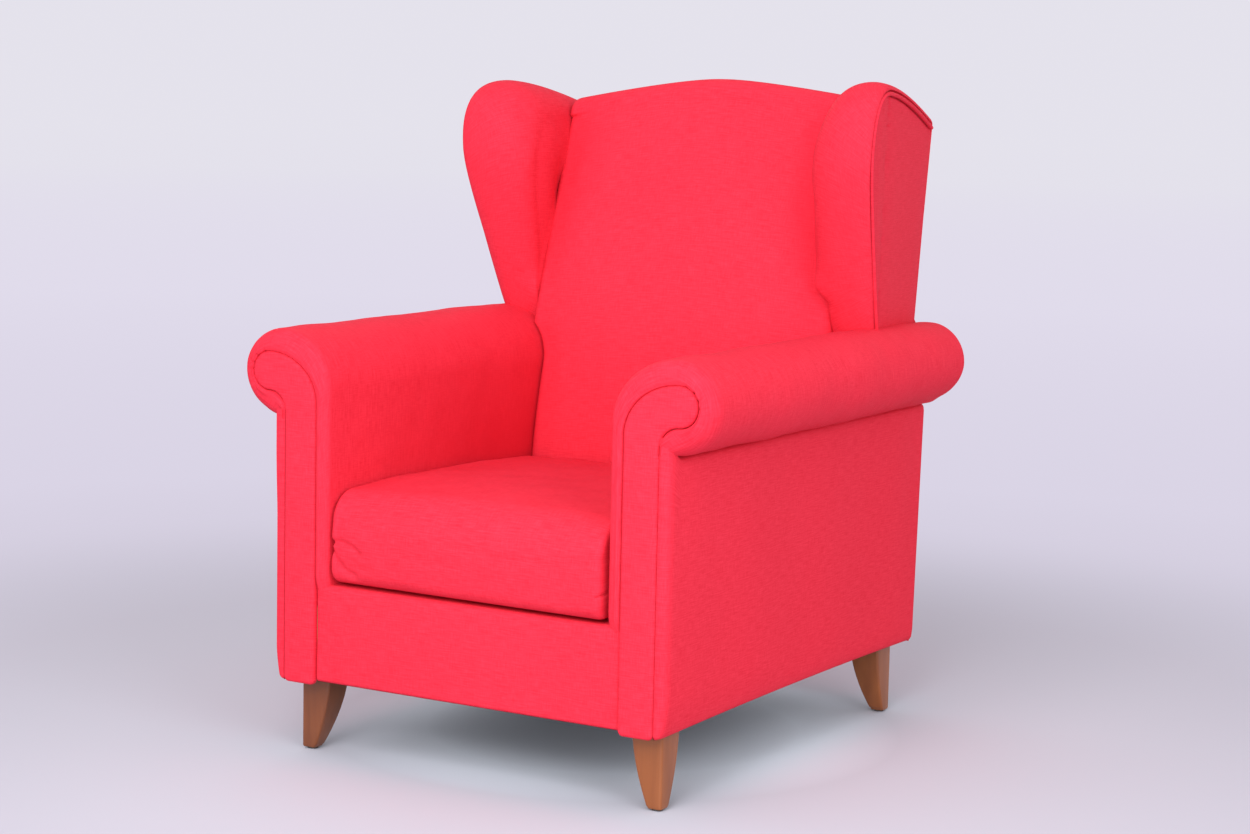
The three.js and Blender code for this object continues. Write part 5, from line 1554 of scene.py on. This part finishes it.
# Each lamp's name, place, size and power
LAMPS = (
    ("front", (0.9, -4.0, 1.15), 2.4, 66.5),
    ("right", (2.5, -1.5, 1.3), 1.6, 31.5),
    ("upper", (0.6, -3.4, 2.8), 2.4, 89.0),
)
CAMERA_PLACE = (2.082918, -3.075083 + CHAIR_FRONT_Y, 1.006851)
AZIMUTH, ELEVATION, ROLL = np.radians((30.4994, 7.0351, 1.2461))
SENSOR_WIDTH = 36.0
LENS_SHARE = 2.074272
CAMERA_REACH = 100.0


def backdrop_finish():
    """A pale floor that takes shadows near the chair, with painted light and shade in its colour there, and
    fades into the backdrop's own glowing shades far off.
    """
    made = Finish("pale_floor")
    far = made.node("ShaderNodeVectorMath", {"operation": "LENGTH"}, i0=made.place()).outputs["Value"]
    made.set(Base_Color=made.shades(far, FLOOR_TONES_AND_PAINTED_LIGHT), Roughness=0.9, Specular_IOR_Level=0.1)
    distant = made.node("ShaderNodeEmission", Color=made.shades(far, BACKDROP_SHADES))
    low, high = BACKDROP_SPAN
    fade = made.node("ShaderNodeMapRange", {"interpolation_type": "SMOOTHSTEP"}, Value=far, From_Min=low,
                     From_Max=high)
    mixed = made.node("ShaderNodeMixShader", i0=fade.outputs[0], i1=made.shader.outputs[0],
                      i2=distant.outputs[0])
    made.put(made.tree.nodes["Material Output"], "Surface", mixed.outputs[0])
    return made.material


floor_mesh = bpy.data.meshes.new("floor")
floor_corners = [(x * FLOOR_REACH, y * FLOOR_REACH, 0.0) for x, y in ((-1, -1), (1, -1), (1, 1), (-1, 1))]
floor_mesh.from_pydata(floor_corners, [], [(0, 1, 2, 3)])
floor_mesh.materials.append(backdrop_finish())
floor = bpy.data.objects.new("floor", floor_mesh)
bpy.context.scene.collection.objects.link(floor)


def studio_world():
    """An even white surround for the light, and the backdrop's colour wherever it is seen or mirrored."""
    world = bpy.data.worlds.new("studio")
    bpy.context.scene.world = world
    world.use_nodes = True
    nodes, links = world.node_tree.nodes, world.node_tree.links
    nodes.clear()
    rays = nodes.new("ShaderNodeLightPath")
    seen = nodes.new("ShaderNodeBackground")
    seen.inputs["Color"].default_value = BACKDROP_SHADES[-1][1]
    lit = nodes.new("ShaderNodeBackground")
    lit.inputs["Color"].default_value = WHITE
    lit.inputs["Strength"].default_value = SURROUND_STRENGTH
    shown = rays.outputs["Is Camera Ray"]
    for kind in ("Is Glossy Ray", "Is Transmission Ray"):
        either = nodes.new("ShaderNodeMath")
        either.operation = "MAXIMUM"
        links.new(shown, either.inputs[0])
        links.new(rays.outputs[kind], either.inputs[1])
        shown = either.outputs[0]
    mixed = nodes.new("ShaderNodeMixShader")
    out = nodes.new("ShaderNodeOutputWorld")
    links.new(shown, mixed.inputs[0])
    links.new(lit.outputs[0], mixed.inputs[1])
    links.new(seen.outputs[0], mixed.inputs[2])
    links.new(mixed.outputs[0], out.inputs["Surface"])


studio_world()


def stand(thing, place, away, roll=0.0):
    """Sets a lamp or the camera up at a place, its back to the direction away, turned by its roll."""
    level = np.cross(UPWARD, away)
    level /= np.linalg.norm(level)
    upright = np.cross(away, level)
    right = np.cos(roll) * level + np.sin(roll) * upright
    up = np.cos(roll) * upright - np.sin(roll) * level
    placing = np.eye(4)
    placing[:3] = np.stack([right, up, away, place], axis=-1)
    bpy.context.scene.collection.objects.link(thing)
    thing.matrix_world = Matrix(placing.tolist())


for name, place, size, power in LAMPS:
    lamp = bpy.data.lights.new(name, "AREA")
    lamp.shape = "SQUARE"
    lamp.size = size
    lamp.energy = power
    away = np.array(place) - LAMP_AIM
    stand(bpy.data.objects.new(name, lamp), place, away / np.linalg.norm(away))

lens = bpy.data.cameras.new("camera")
lens.sensor_width = SENSOR_WIDTH
lens.lens = LENS_SHARE * SENSOR_WIDTH
lens.clip_end = CAMERA_REACH
camera = bpy.data.objects.new("camera", lens)
flat_away = np.cos(ELEVATION)
camera_away = np.array([np.sin(AZIMUTH) * flat_away, -np.cos(AZIMUTH) * flat_away, np.sin(ELEVATION)])
stand(camera, CAMERA_PLACE, camera_away, ROLL)
bpy.context.scene.camera = camera
bpy.context.scene.view_settings.view_transform = "Standard"
